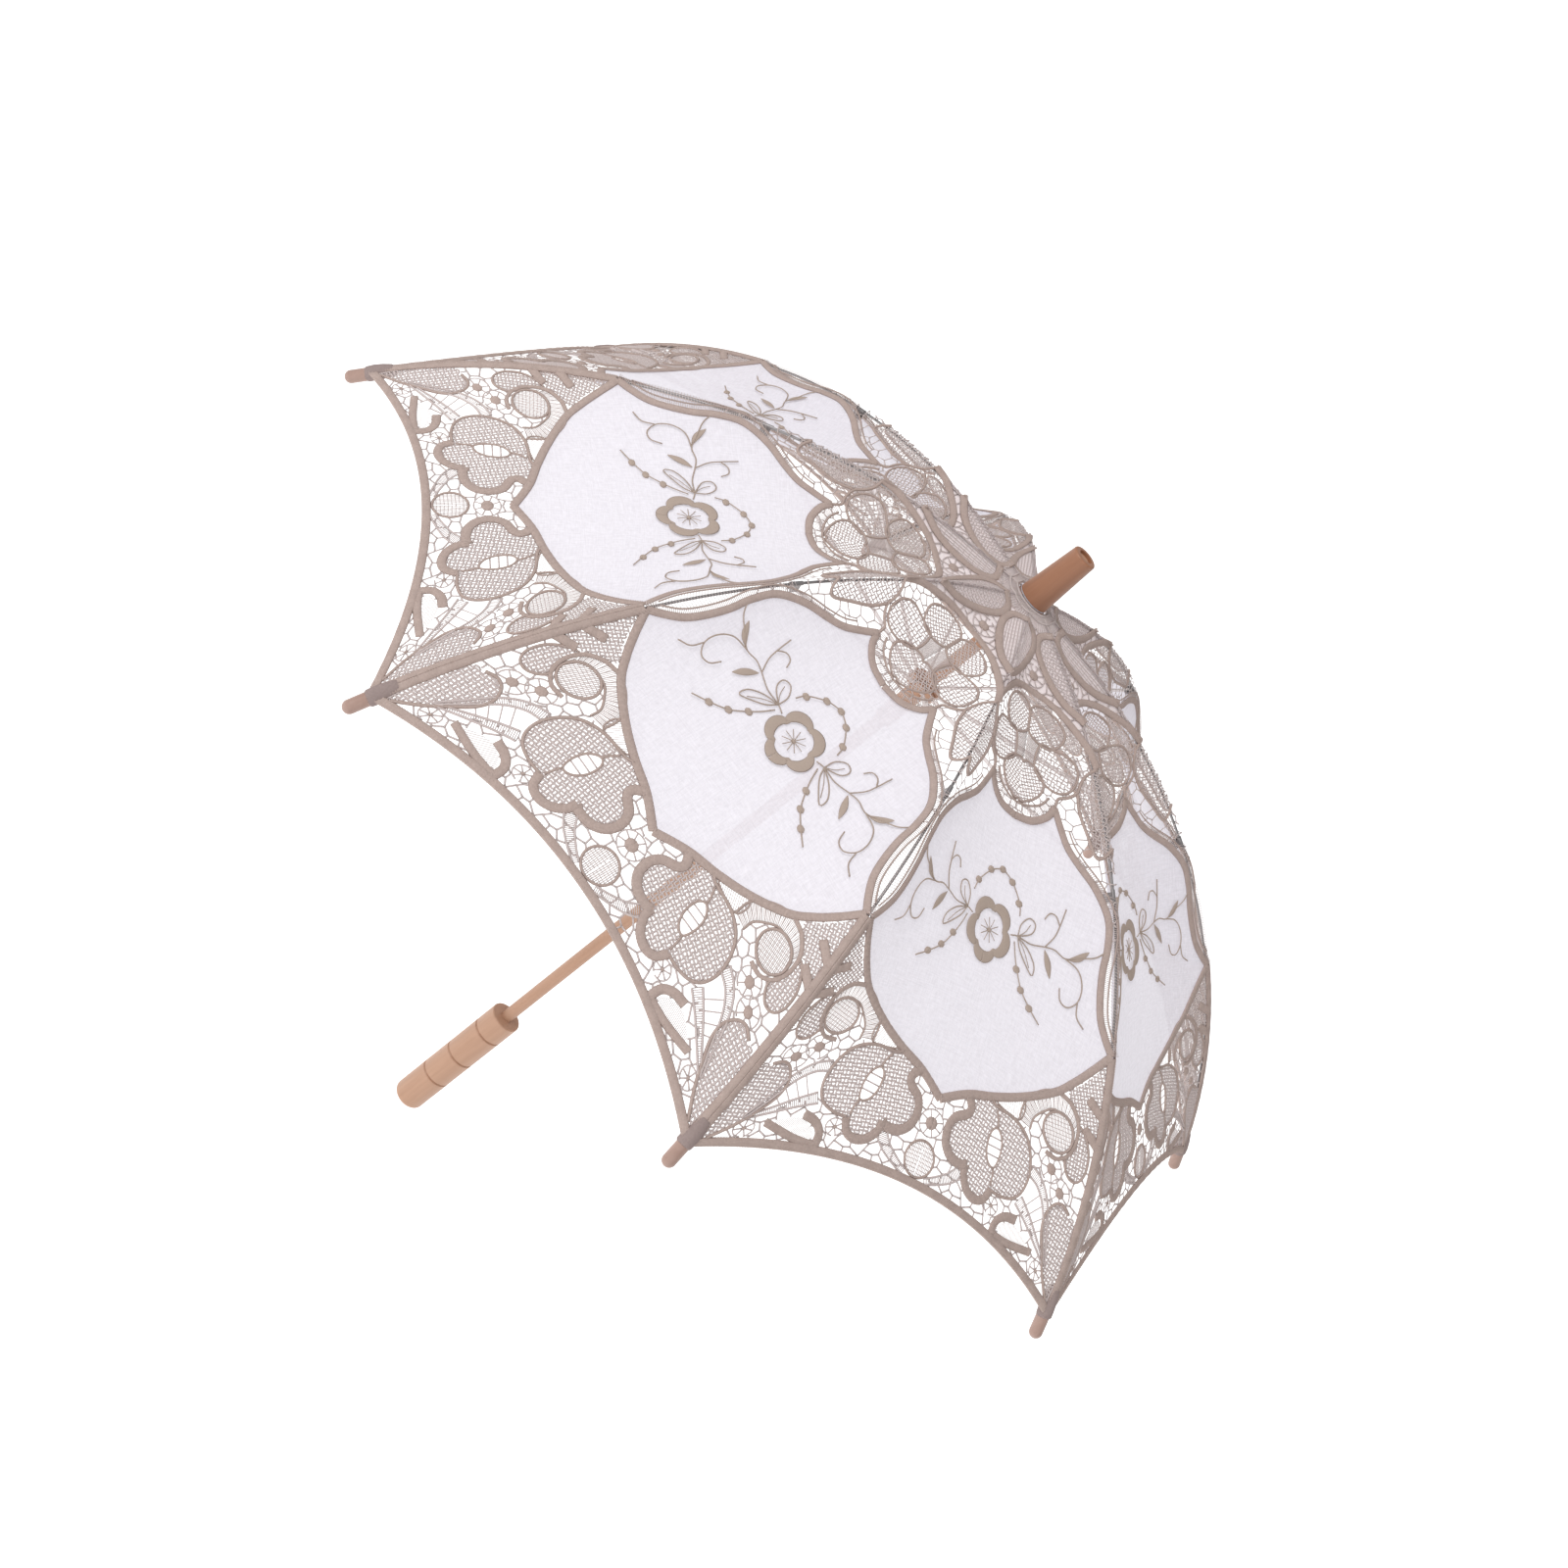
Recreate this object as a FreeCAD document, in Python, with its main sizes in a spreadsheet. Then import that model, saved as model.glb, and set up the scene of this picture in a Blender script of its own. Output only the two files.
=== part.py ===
"""Lace parasol, open, held upright: eight curved ribs under a scalloped canopy, on a wooden shaft.

Units are millimetres. +Z runs up the shaft towards the ferrule, the origin is the middle of the hand
grip, and rib 1 points along +X with the others every 45 degrees. All the ribs and the canopy's
ridges lie on circles about one point on the shaft, and each canopy gore sags between its ribs.
"""
import FreeCAD, Part
import Sketcher
import math
import os

RIBS = 8
RIB_STEP = 360.0 / RIBS
HALF_STEP = math.radians(RIB_STEP / 2)
SPRING_AZIMUTH = 292.5
STOP_AZIMUTH = 22.5
RADIAL = FreeCAD.Vector(1, 0, 0)
TANGENTIAL = FreeCAD.Vector(0, 1, 0)
UP = FreeCAD.Vector(0, 0, 1)
OVERSHOOT = 1.0  # how far a cutting tool passes the face that it opens

# The driving dimensions, in millimetres and degrees.
DIMENSIONS = [
    ("shaft_diameter", 9.5, "wooden shaft"),
    ("shaft_bottom", -44, "lower end, inside the handle"),
    ("handle_diameter", 24.5, "turned handle"),
    ("handle_length", 116, "centred on the origin"),
    ("handle_round", 4.5, "rounding of the handle's lower end"),
    ("handle_edge", 1.2, "rounding of the handle's upper end"),
    ("groove_depth", 1.1, "turned V grooves"),
    ("groove_half_width", 1.0, "turned V grooves"),
    ("groove_top", 38, "height of the upper groove"),
    ("groove_middle", 6, "height of the middle groove"),
    ("groove_low", -22, "height of the lower groove"),
    ("crown_height", 576, "top of the canopy on the shaft"),
    ("ridge_radius", 469.6, "radius of the canopy's ridges over the ribs"),
    ("rib_drop", 3.2, "from a ridge down to the rib's centreline"),
    ("rib_wire", 1.8, "diameter of the rib wire"),
    ("pocket_radius", 392, "from the shaft to the canopy's corners"),
    ("ring_radius", 12.6, "from the shaft to the canopy's inner corners"),
    ("cloth", 0.8, "thickness of the canopy"),
    ("gore_sag", 24, "how far a gore sinks between its ribs at mid-length"),
    ("hem_scallop", 35, "how far the hem rises between two ribs"),
    ("cloth_gap", 0.15, "between a canopy piece and the planes that divide it"),
    ("ferrule_length", 44, "wooden top cap"),
    ("ferrule_base", 22.4, "diameter over the canopy"),
    ("ferrule_top", 17.8, "diameter at its upper end"),
    ("ferrule_edge", 1.5, "rounding of the ferrule's rim"),
    ("ferrule_recess", 2, "how far the shaft ends below the ferrule's rim"),
    ("ferrule_bore", 10.4, "diameter of the open recess"),
    ("ferrule_gap", 0.1, "between the washer and the ferrule"),
    ("pivot_radius", 9, "from the shaft's axis to the rib and stretcher pivots"),
    ("ring_wire", 1.4, "diameter of the wires that thread the pivots"),
    ("ring_clearance", 0.02, "round those wires in their grooves"),
    ("eye_diameter", 4.2, "eyes at the ends of ribs and stretchers"),
    ("eye_hole", 1.6, "holes of those eyes"),
    ("slot_width", 2.6, "slots of the notch and the runner"),
    ("slot_floor", 6.6, "from the shaft's axis to the floor of the slots"),
    ("notch_diameter", 23, "slotted flange of the top notch"),
    ("notch_sleeve", 14, "diameter of the top notch's sleeve"),
    ("notch_sleeve_length", 11, "below the flange"),
    ("notch_floor", 6.2, "from the rib pivots down to the flange's underside"),
    ("notch_gap", 0.2, "between the notch and the washer"),
    ("joint_radius", 196, "from the shaft to the rib where its stretcher meets it"),
    ("joint_drop", 4, "from the rib's centreline down to the stretcher's rivet"),
    ("rivet", 1.8, "diameter of the rivets"),
    ("rivet_hole", 1.92, "hole in the stretcher for its rivet"),
    ("rivet_heads", 0.8, "how much longer a rivet is than its clip is wide"),
    ("stretcher_width", 1.2, "across the rib"),
    ("stretcher_depth", 2.2, "along the fold"),
    ("clip_sleeve", 2.8, "diameter of the clip's tube round the rib"),
    ("clip_bore", 1.9, "hole of that tube"),
    ("clip_length", 9, "along the rib"),
    ("cheek_gap", 1.7, "between the clip's two cheeks"),
    ("cheek_thickness", 0.6, "sheet of the cheeks"),
    ("cheek_length", 6, "along the rib"),
    ("cheek_below", 2.2, "how far the cheeks pass the rivet's centre"),
    ("bridge_above", 0.2, "top of the web that joins the cheeks, over the rib's centreline"),
    ("bridge_below", 1.1, "underside of that web, under the rib's centreline"),
    ("tip_diameter", 8.5, "wooden rib tips"),
    ("tip_length", 13.5, "from the canopy's corner to the centre of the round end"),
    ("tip_start", 0.5, "gap from the canopy's corner to the tip"),
    ("tip_bore", 2.0, "hole for the rib wire"),
    ("rib_insert", 8, "length of the rib inside its tip"),
    ("tip_bore_end", 0.3, "free length of the tip's hole beyond the rib"),
    ("runner_bore", 9.66, "running fit on the shaft"),
    ("runner_sleeve", 13.6, "diameter of the runner's sleeve"),
    ("keyway_width", 2.1, "groove inside the runner that clears the catch springs"),
    ("keyway_radius", 6.1, "from the shaft's axis to the floor of that groove"),
    ("runner_sleeve_length", 34, "below the runner's flange"),
    ("runner_flange", 24, "diameter of the runner's slotted flange"),
    ("runner_half", 3.6, "half the height of the runner's flange"),
    ("fold_angle", 60, "how far each rib turns when the parasol is closed"),
    ("spring_thickness", 1.6, "flat wire of the catch springs"),
    ("spring_length", 33, "from a spring's pin to its shoulder"),
    ("spring_heel", 2, "from a spring's pin to its other end"),
    ("spring_inside", 0.3, "from the shaft's axis to a spring's inner edge"),
    ("spring_outside", 2.9, "from the shaft's axis to the leaf's outer edge"),
    ("spring_ramp", 20, "from a spring's pin to where it starts to ramp out"),
    ("spring_land", 1, "from the end of the ramp to the shoulder"),
    ("spring_reach", 5.9, "from the shaft's axis to the shoulder's outer corner"),
    ("spring_pin", 1.6, "pins that hold the springs"),
    ("spring_pin_hole", 1.7, "holes of the springs"),
    ("spring_pin_short", 1, "how much shorter a pin is than the shaft is thick"),
    ("spring_pin_depth", 1.5, "from the shaft's axis to a spring's pin"),
    ("spring_slot_width", 2, "slots in the shaft"),
    ("spring_slot_floor", -2.6, "how far a slot passes the shaft's axis"),
    ("spring_slot_margin", 4, "how far a slot passes the spring's pin and its shoulder"),
    ("catch_gap", 0.3, "between a spring's shoulder and the runner"),
    ("stop_pin_diameter", 1.8, "cross pin above the runner"),
    ("stop_pin_length", 12.4, "cross pin above the runner"),
    ("washer_thickness", 0.7, "cloth washer under the ferrule"),
    ("washer_gap", 1.3, "from the washer's rim to the canopy's inner corners"),
]

doc = FreeCAD.newDocument("lace_parasol")
sheet = doc.addObject("Spreadsheet::Sheet", "sizes")
for row, (alias, value, meaning) in enumerate(DIMENSIONS, 1):
    sheet.set(f"A{row}", alias.replace("_", " "))
    sheet.set(f"B{row}", str(value))
    sheet.set(f"C{row}", meaning)
    sheet.setAlias(f"B{row}", alias)
doc.recompute()

size = {alias: float(sheet.get(alias)) for alias, _, _ in DIMENSIONS}
kept = []


# ---------------------------------------------------------------- where the pivots are

def on_circle(radius, angle):
    """(distance from the shaft, height) at an angle from the top of a circle about the ribs' centre."""
    centre = size["crown_height"] - size["ridge_radius"]
    return radius * math.sin(angle), centre + radius * math.cos(angle)


RIB_RADIUS = size["ridge_radius"] - size["rib_drop"]
RIB_CENTRE = size["crown_height"] - size["ridge_radius"]
PIVOT_ANGLE = math.asin(size["pivot_radius"] / RIB_RADIUS)
JOINT_ANGLE = math.asin(size["joint_radius"] / RIB_RADIUS)
CORNER_ANGLE = math.asin(size["pocket_radius"] / size["ridge_radius"])
RING_ANGLE = math.asin(size["ring_radius"] / size["ridge_radius"])
RIB_PIVOT = on_circle(RIB_RADIUS, PIVOT_ANGLE)
RIB_JOINT = on_circle(RIB_RADIUS - size["joint_drop"], JOINT_ANGLE)
LINK = math.dist(RIB_PIVOT, RIB_JOINT)
LINK_SLOPE = math.asin((RIB_PIVOT[1] - RIB_JOINT[1]) / LINK)
# The stretcher is as long as the rib's first stretch, so its lower end stays as far from the shaft.
RUNNER_OPEN = RIB_PIVOT[1] - 2 * LINK * math.sin(LINK_SLOPE)
RUNNER_CLOSED = RIB_PIVOT[1] - 2 * LINK * math.sin(LINK_SLOPE + math.radians(size["fold_angle"]))
RUNNER_FOOT = size["runner_half"] + size["runner_sleeve_length"]
SHAFT_TOP = size["crown_height"] + size["ferrule_length"] - size["ferrule_recess"]


# ---------------------------------------------------------------- helpers

def turned(azimuth):
    """The rotation about the shaft that brings +X to an azimuth in degrees."""
    return FreeCAD.Placement(FreeCAD.Vector(), FreeCAD.Rotation(UP, azimuth))


def tilted(point, angle):
    """A frame at a point of the rib plane whose Z axis leans outwards by an angle in radians."""
    lean = FreeCAD.Rotation(TANGENTIAL, math.degrees(angle))
    return FreeCAD.Placement(FreeCAD.Vector(point[0], 0, point[1]), lean)


def across(point):
    """A frame at a point of the rib plane whose Z axis is the pivot direction, across the plane."""
    lean = FreeCAD.Rotation(RADIAL, -90)
    return FreeCAD.Placement(FreeCAD.Vector(point[0], 0, point[1]), lean)


def primitive(kind, name, place, **sizes):
    """A Part primitive with its sizes bound to the sheet and its own placement."""
    made = doc.addObject("Part::" + kind, name)
    for prop, expression in sizes.items():
        made.setExpression(prop, str(expression))
    made.Placement = place
    return made


def rod(name, place, diameter, length):
    """A cylinder along a frame's Z axis, centred on the frame."""
    shift = FreeCAD.Placement(FreeCAD.Vector(0, 0, -length / 2), FreeCAD.Rotation())
    return primitive("Cylinder", name, place.multiply(shift), Radius=diameter + " / 2", Height=length)


def block(name, place, low, high):
    """A box between two corners given in a frame."""
    shift = FreeCAD.Placement(FreeCAD.Vector(*low), FreeCAD.Rotation())
    length, width, height = (b - a for a, b in zip(low, high))
    return primitive("Box", name, place.multiply(shift), Length=length, Width=width, Height=height)


def joined(name, pieces):
    made = doc.addObject("Part::MultiFuse", name)
    made.Shapes = pieces
    made.Refine = True
    return made


def cut(name, base, tools):
    made = doc.addObject("Part::Cut", name)
    made.Base = base
    made.Tool = tools[0] if len(tools) == 1 else joined(name + "_tools", tools)
    made.Refine = True
    return made


def keep(made, label, place=None):
    """Names a finished sub-part, and places it."""
    made.Label = label
    if place is not None:
        made.Placement = place.multiply(made.Placement)
    kept.append(made)
    return made


def origin_plane(body, role):
    return next(f for f in body.Origin.OriginFeatures if f.Role == role)


def outline(body, name, corners):
    """A sketch on a body's XZ plane: straight sides between corners whose two coordinates are sheet
    expressions. A corner at 0 lies on the shaft's axis."""
    sketch = body.newObject("Sketcher::SketchObject", name)
    sketch.AttachmentSupport = [(origin_plane(body, "XZ_Plane"), "")]
    sketch.MapMode = "FlatFace"
    doc.recompute()
    values = [(evaluate(x), evaluate(y)) for x, y in corners]
    points = [FreeCAD.Vector(x, y, 0) for x, y in values]
    count = len(points)
    for i in range(count):
        sketch.addGeometry(Part.LineSegment(points[i], points[(i + 1) % count]), False)
    for i in range(count):
        sketch.addConstraint(Sketcher.Constraint("Coincident", i, 2, (i + 1) % count, 1))
    for i, ((x_words, y_words), (x, y)) in enumerate(zip(corners, values)):
        bind(sketch, Sketcher.Constraint("DistanceX", -1, 1, i, 1, x), f"across_{i}", x_words)
        bind(sketch, Sketcher.Constraint("DistanceY", -1, 1, i, 1, y), f"height_{i}", y_words)
    return sketch


def bind(sketch, constraint, name, words):
    index = sketch.addConstraint(constraint)
    sketch.renameConstraint(index, name)
    sketch.setExpression("Constraints." + name, str(words))


def evaluate(words):
    """The number that a sheet expression stands for now."""
    text = str(words)
    for alias in sorted(size, key=len, reverse=True):
        text = text.replace("sizes." + alias, repr(size[alias]))
    return float(FreeCAD.Units.Quantity(text).Value)


def turned_body(name, corners):
    """A PartDesign body revolved about the shaft's axis from its half outline."""
    body = doc.addObject("PartDesign::Body", name)
    sketch = outline(body, name + "_outline", corners)
    spin = body.newObject("PartDesign::Revolution", name + "_turned")
    spin.Profile = sketch
    spin.ReferenceAxis = (sketch, ["V_Axis"])
    spin.Angle = 360
    doc.recompute()
    return body


def round_edges(body, name, radius, heights, radii):
    """Fillets the circular edges of a turned body at the given heights and radii."""
    base = body.Tip
    names = []
    for number, edge in enumerate(base.Shape.Edges, 1):
        if not isinstance(edge.Curve, Part.Circle):
            continue
        for height, wanted in zip(heights, radii):
            level = abs(edge.Curve.Center.z - height) < 0.01
            if level and abs(edge.Curve.Radius - wanted) < 0.01:
                names.append(f"Edge{number}")
    fillet = body.newObject("PartDesign::Fillet", name)
    fillet.Base = (base, names)
    fillet.setExpression("Radius", radius)
    doc.recompute()


# ---------------------------------------------------------------- shaft, handle and ferrule

def spring_slot(name, pin_height, direction):
    """The slot in the shaft for a catch spring, from below its pin to past its shoulder."""
    margin = size["spring_slot_margin"]
    ends = sorted([pin_height - direction * margin,
                   pin_height + direction * (size["spring_length"] + margin)])
    half = size["spring_slot_width"] / 2
    low = (size["spring_slot_floor"], -half, ends[0])
    high = (size["shaft_diameter"], half, ends[1])
    return block(name, turned(SPRING_AZIMUTH), low, high)


def spring_pin_place(pin_height):
    return turned(SPRING_AZIMUTH).multiply(across((size["spring_pin_depth"], pin_height)))


TOP_PIN = RUNNER_OPEN - RUNNER_FOOT - size["catch_gap"] - size["spring_length"]
BOTTOM_PIN = RUNNER_CLOSED + size["runner_half"] + size["catch_gap"] + size["spring_length"]
STOP_HEIGHT = RUNNER_OPEN + size["runner_half"] + size["catch_gap"] + size["stop_pin_diameter"] / 2


def stop_pin_rod(name):
    place = turned(STOP_AZIMUTH).multiply(across((0, STOP_HEIGHT)))
    return rod(name, place, "sizes.stop_pin_diameter", size["stop_pin_length"])


def make_shaft():
    """A round stick with a slot for each catch spring and holes for its cross pins."""
    foot = FreeCAD.Placement(FreeCAD.Vector(0, 0, size["shaft_bottom"]), FreeCAD.Rotation())
    stick = primitive("Cylinder", "stick", foot, Radius="sizes.shaft_diameter / 2",
                      Height=SHAFT_TOP - size["shaft_bottom"])
    tools = [spring_slot("top_slot", TOP_PIN, 1), spring_slot("bottom_slot", BOTTOM_PIN, -1)]
    length = 2 * size["shaft_diameter"]
    for name, height in (("top_pin_hole", TOP_PIN), ("bottom_pin_hole", BOTTOM_PIN)):
        tools.append(rod(name, spring_pin_place(height), "sizes.spring_pin", length))
    tools.append(stop_pin_rod("stop_pin_hole"))
    keep(cut("shaft", stick, tools), "shaft")


def make_handle():
    """A turned grip with three V grooves, bored from above for the shaft."""
    outer, bore, end = "sizes.handle_diameter / 2", "sizes.shaft_diameter / 2", "sizes.handle_length / 2"
    corners = [(bore, "sizes.shaft_bottom"), (bore, end), (outer, end)]
    for groove in ("sizes.groove_top", "sizes.groove_middle", "sizes.groove_low"):
        corners += [(outer, groove + " + sizes.groove_half_width"),
                    (outer + " - sizes.groove_depth", groove),
                    (outer, groove + " - sizes.groove_half_width")]
    corners += [(outer, "-" + end), (0, "-" + end), (0, "sizes.shaft_bottom")]
    body = turned_body("handle", corners)
    reach, half = size["handle_diameter"] / 2, size["handle_length"] / 2
    round_edges(body, "handle_foot", "sizes.handle_round", [-half], [reach])
    round_edges(body, "handle_rim", "sizes.handle_edge", [half], [reach])
    keep(body, "handle")


def make_ferrule():
    """The tapered wooden cap over the crown, with an open recess above the end of the shaft."""
    bore, recess = "sizes.shaft_diameter / 2", "sizes.ferrule_bore / 2"
    foot = "sizes.crown_height + sizes.ferrule_gap"
    shaft_end = "sizes.crown_height + sizes.ferrule_length - sizes.ferrule_recess"
    rim = "sizes.crown_height + sizes.ferrule_length"
    corners = [(bore, foot), (bore, shaft_end), (recess, shaft_end), (recess, rim),
               ("sizes.ferrule_top / 2", rim), ("sizes.ferrule_base / 2", foot)]
    body = turned_body("ferrule", corners)
    height = size["crown_height"] + size["ferrule_length"]
    round_edges(body, "ferrule_rim", "sizes.ferrule_edge", [height], [size["ferrule_top"] / 2])
    keep(body, "ferrule")


def make_washer():
    """The cloth washer between the canopy's crown and the ferrule."""
    top = "sizes.crown_height"
    under = top + " - sizes.washer_thickness"
    bore, outer = "sizes.shaft_diameter / 2", "sizes.ring_radius - sizes.washer_gap"
    keep(turned_body("crown_washer", [(bore, under), (bore, top), (outer, top), (outer, under)]),
         "crown_washer")


# ---------------------------------------------------------------- top notch and runner

def slots(name, low, high):
    """Eight radial slots between two heights, open at the rim."""
    half = size["slot_width"] / 2
    return [block(f"{name}_{k}", turned(k * RIB_STEP), (size["slot_floor"], -half, low),
                  (size["runner_flange"], half, high)) for k in range(RIBS)]


def ring(name, height, radius="sizes.ring_wire / 2"):
    """A wire ring round the shaft at the pivots' radius."""
    place = FreeCAD.Placement(FreeCAD.Vector(0, 0, height), FreeCAD.Rotation())
    return primitive("Torus", name, place, Radius1="sizes.pivot_radius", Radius2=radius)


def ring_groove(name, height):
    """The groove that holds a wire ring."""
    return ring(name, height, "sizes.ring_wire / 2 + sizes.ring_clearance")


def make_notch():
    """The slotted crown that is fixed to the shaft and holds the ribs' inner ends on a wire."""
    bore, sleeve, flange = "sizes.shaft_diameter / 2", "sizes.notch_sleeve / 2", "sizes.notch_diameter / 2"
    top = size["crown_height"] - size["washer_thickness"] - size["notch_gap"]
    floor = RIB_PIVOT[1] - size["notch_floor"]
    foot = floor - size["notch_sleeve_length"]
    body = turned_body("notch_blank", [(bore, foot), (bore, top), (flange, top), (flange, floor),
                                       (sleeve, floor), (sleeve, foot)])
    tools = slots("notch_slot", floor - OVERSHOOT, top + OVERSHOOT)
    tools.append(ring_groove("notch_groove", RIB_PIVOT[1]))
    keep(cut("top_notch", body, tools), "top_notch")
    keep(ring("notch_wire", RIB_PIVOT[1]), "notch_wire")


def make_runner():
    """The sliding sleeve whose slotted flange holds the stretchers' inner ends on a wire."""
    bore, sleeve, flange = "sizes.runner_bore / 2", "sizes.runner_sleeve / 2", "sizes.runner_flange / 2"
    top, floor = RUNNER_OPEN + size["runner_half"], RUNNER_OPEN - size["runner_half"]
    foot = RUNNER_OPEN - RUNNER_FOOT
    body = turned_body("runner_blank", [(bore, foot), (bore, top), (flange, top), (flange, floor),
                                        (sleeve, floor), (sleeve, foot)])
    half = size["keyway_width"] / 2
    tools = slots("runner_slot", floor - OVERSHOOT, top + OVERSHOOT)
    tools.append(block("keyway", turned(SPRING_AZIMUTH), (0, -half, foot - OVERSHOOT),
                       (size["keyway_radius"], half, top + OVERSHOOT)))
    tools.append(ring_groove("runner_groove", RUNNER_OPEN))
    keep(cut("runner", body, tools), "runner")
    keep(ring("runner_wire", RUNNER_OPEN), "runner_wire")


# ---------------------------------------------------------------- catches and pins

def make_spring(name, pin_height, direction):
    """A flat wire catch in its slot: a leaf from the pin that ramps out to a square shoulder."""
    inside, outside, reach = size["spring_inside"], size["spring_outside"], size["spring_reach"]
    heel, length = -size["spring_heel"], size["spring_length"]
    points = [(inside, heel), (outside, heel), (outside, size["spring_ramp"]),
              (reach, length - size["spring_land"]), (reach, length), (inside, length)]
    thick = size["spring_thickness"]
    corners = [FreeCAD.Vector(x, -thick / 2, pin_height + direction * z) for x, z in points]
    leaf = Part.Face(Part.makePolygon(corners + corners[:1])).extrude(TANGENTIAL * thick)
    pin = FreeCAD.Vector(size["spring_pin_depth"], -thick, pin_height)
    solid = leaf.cut(Part.makeCylinder(size["spring_pin_hole"] / 2, 2 * thick, pin, TANGENTIAL))
    made = doc.addObject("Part::Feature", name)
    made.Shape = solid
    keep(made, name, turned(SPRING_AZIMUTH))


def make_pins():
    """The two cross pins that the catch springs turn on, and the stop pin above the runner."""
    length = size["shaft_diameter"] - size["spring_pin_short"]
    pins = [rod(name, spring_pin_place(height), "sizes.spring_pin", length)
            for name, height in (("top_pin", TOP_PIN), ("bottom_pin", BOTTOM_PIN))]
    both = doc.addObject("Part::Compound", "spring_pins")
    both.Links = pins
    keep(both, "spring_pins")
    keep(stop_pin_rod("stop_pin"), "stop_pin")


# ---------------------------------------------------------------- ribs and stretchers

def arc_frame(angle):
    """A frame at the ribs' centre whose X axis points at an angle from the top of the rib circle,
    and whose Z axis is across the rib plane."""
    centre = FreeCAD.Vector(0, 0, RIB_CENTRE)
    lay = FreeCAD.Rotation(RADIAL, 90)
    aim = FreeCAD.Rotation(TANGENTIAL, math.degrees(angle) - 90)
    return FreeCAD.Placement(centre, aim.multiply(lay))


def make_rib(number, place):
    """A round wire bent to the rib circle, with an eye at its inner end."""
    insert = size["rib_insert"] / RIB_RADIUS
    sweep = math.degrees(CORNER_ANGLE + insert - PIVOT_ANGLE)
    wire = primitive("Torus", f"rib_wire_{number}", arc_frame(CORNER_ANGLE + insert), Radius1=RIB_RADIUS,
                     Radius2="sizes.rib_wire / 2", Angle3=sweep)
    eye = rod(f"rib_eye_{number}", across(RIB_PIVOT), "sizes.eye_diameter", size["rib_wire"])
    hole = rod(f"rib_hole_{number}", across(RIB_PIVOT), "sizes.eye_hole", 2 * size["rib_wire"])
    keep(cut(f"rib_{number}", joined(f"rib_blank_{number}", [wire, eye]), [hole]), f"rib_{number}", place)


def make_tip(number, place):
    """A wooden peg with a round end on the end of the rib, in line with it."""
    corner = on_circle(RIB_RADIUS, CORNER_ANGLE)
    start, length = size["tip_start"], size["tip_length"]
    frame = tilted(corner, CORNER_ANGLE + math.pi / 2)
    at_start = frame.multiply(FreeCAD.Placement(FreeCAD.Vector(0, 0, start), FreeCAD.Rotation()))
    at_end = frame.multiply(FreeCAD.Placement(FreeCAD.Vector(0, 0, length), FreeCAD.Rotation()))
    peg = primitive("Cylinder", f"peg_{number}", at_start, Radius="sizes.tip_diameter / 2",
                    Height="sizes.tip_length - sizes.tip_start")
    ball = primitive("Sphere", f"ball_{number}", at_end, Radius="sizes.tip_diameter / 2")
    bore = primitive("Cylinder", f"tip_bore_{number}", frame, Radius="sizes.tip_bore / 2",
                     Height="sizes.rib_insert + sizes.tip_bore_end")
    keep(cut(f"rib_tip_{number}", joined(f"tip_blank_{number}", [peg, ball]), [bore]),
         f"rib_tip_{number}", place)


def make_clip(number, place):
    """A folded clip round the rib with two cheeks, and the rivet through them."""
    on_rib = tilted(on_circle(RIB_RADIUS, JOINT_ANGLE), JOINT_ANGLE)
    along = on_rib.multiply(FreeCAD.Placement(FreeCAD.Vector(), FreeCAD.Rotation(TANGENTIAL, 90)))
    tube = rod(f"clip_tube_{number}", along, "sizes.clip_sleeve", size["clip_length"])
    inner, half = size["cheek_gap"] / 2, size["cheek_length"] / 2
    outer, foot = inner + size["cheek_thickness"], -size["joint_drop"] - size["cheek_below"]
    cheeks = [block(f"cheek_{side}_{number}", on_rib, (-half, low, foot), (half, high, 0))
              for side, low, high in (("left", inner, outer), ("right", -outer, -inner))]
    bridge = block(f"clip_bridge_{number}", on_rib, (-half, -outer, -size["bridge_below"]),
                   (half, outer, size["bridge_above"]))
    bore = rod(f"clip_bore_{number}", along, "sizes.clip_bore", 2 * size["clip_length"])
    rivet_place = across(RIB_JOINT)
    rivet_hole = rod(f"clip_hole_{number}", rivet_place, "sizes.rivet", 4 * outer)
    folded = cut(f"clip_folded_{number}", joined(f"clip_blank_{number}", [tube, bridge] + cheeks),
                 [bore, rivet_hole])
    rivet = rod(f"rivet_{number}", rivet_place, "sizes.rivet", 2 * outer + size["rivet_heads"])
    both = doc.addObject("Part::Compound", f"rib_clip_{number}")
    both.Links = [folded, rivet]
    keep(both, f"rib_clip_{number}", place)


def make_stretcher(number, place):
    """A flat steel strut with an eye at each end, from the rib's clip to the runner's wire."""
    low = (size["pivot_radius"], RUNNER_OPEN)
    aim = FreeCAD.Rotation(TANGENTIAL, -math.degrees(LINK_SLOPE))
    frame = FreeCAD.Placement(FreeCAD.Vector(low[0], 0, low[1]), aim)
    half_wide, half_deep = size["stretcher_width"] / 2, size["stretcher_depth"] / 2
    bar = block(f"strut_{number}", frame, (0, -half_wide, -half_deep), (LINK, half_wide, half_deep))
    eyes = [rod(f"strut_eye_{end}_{number}", across(point), "sizes.eye_diameter", size["stretcher_width"])
            for end, point in (("low", low), ("high", RIB_JOINT))]
    holes = [rod(f"strut_hole_low_{number}", across(low), "sizes.eye_hole", 2 * size["eye_diameter"]),
             rod(f"strut_hole_high_{number}", across(RIB_JOINT), "sizes.rivet_hole",
                 2 * size["eye_diameter"])]
    keep(cut(f"stretcher_{number}", joined(f"strut_blank_{number}", [bar] + eyes), holes),
         f"stretcher_{number}", place)


# ---------------------------------------------------------------- canopy

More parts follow.
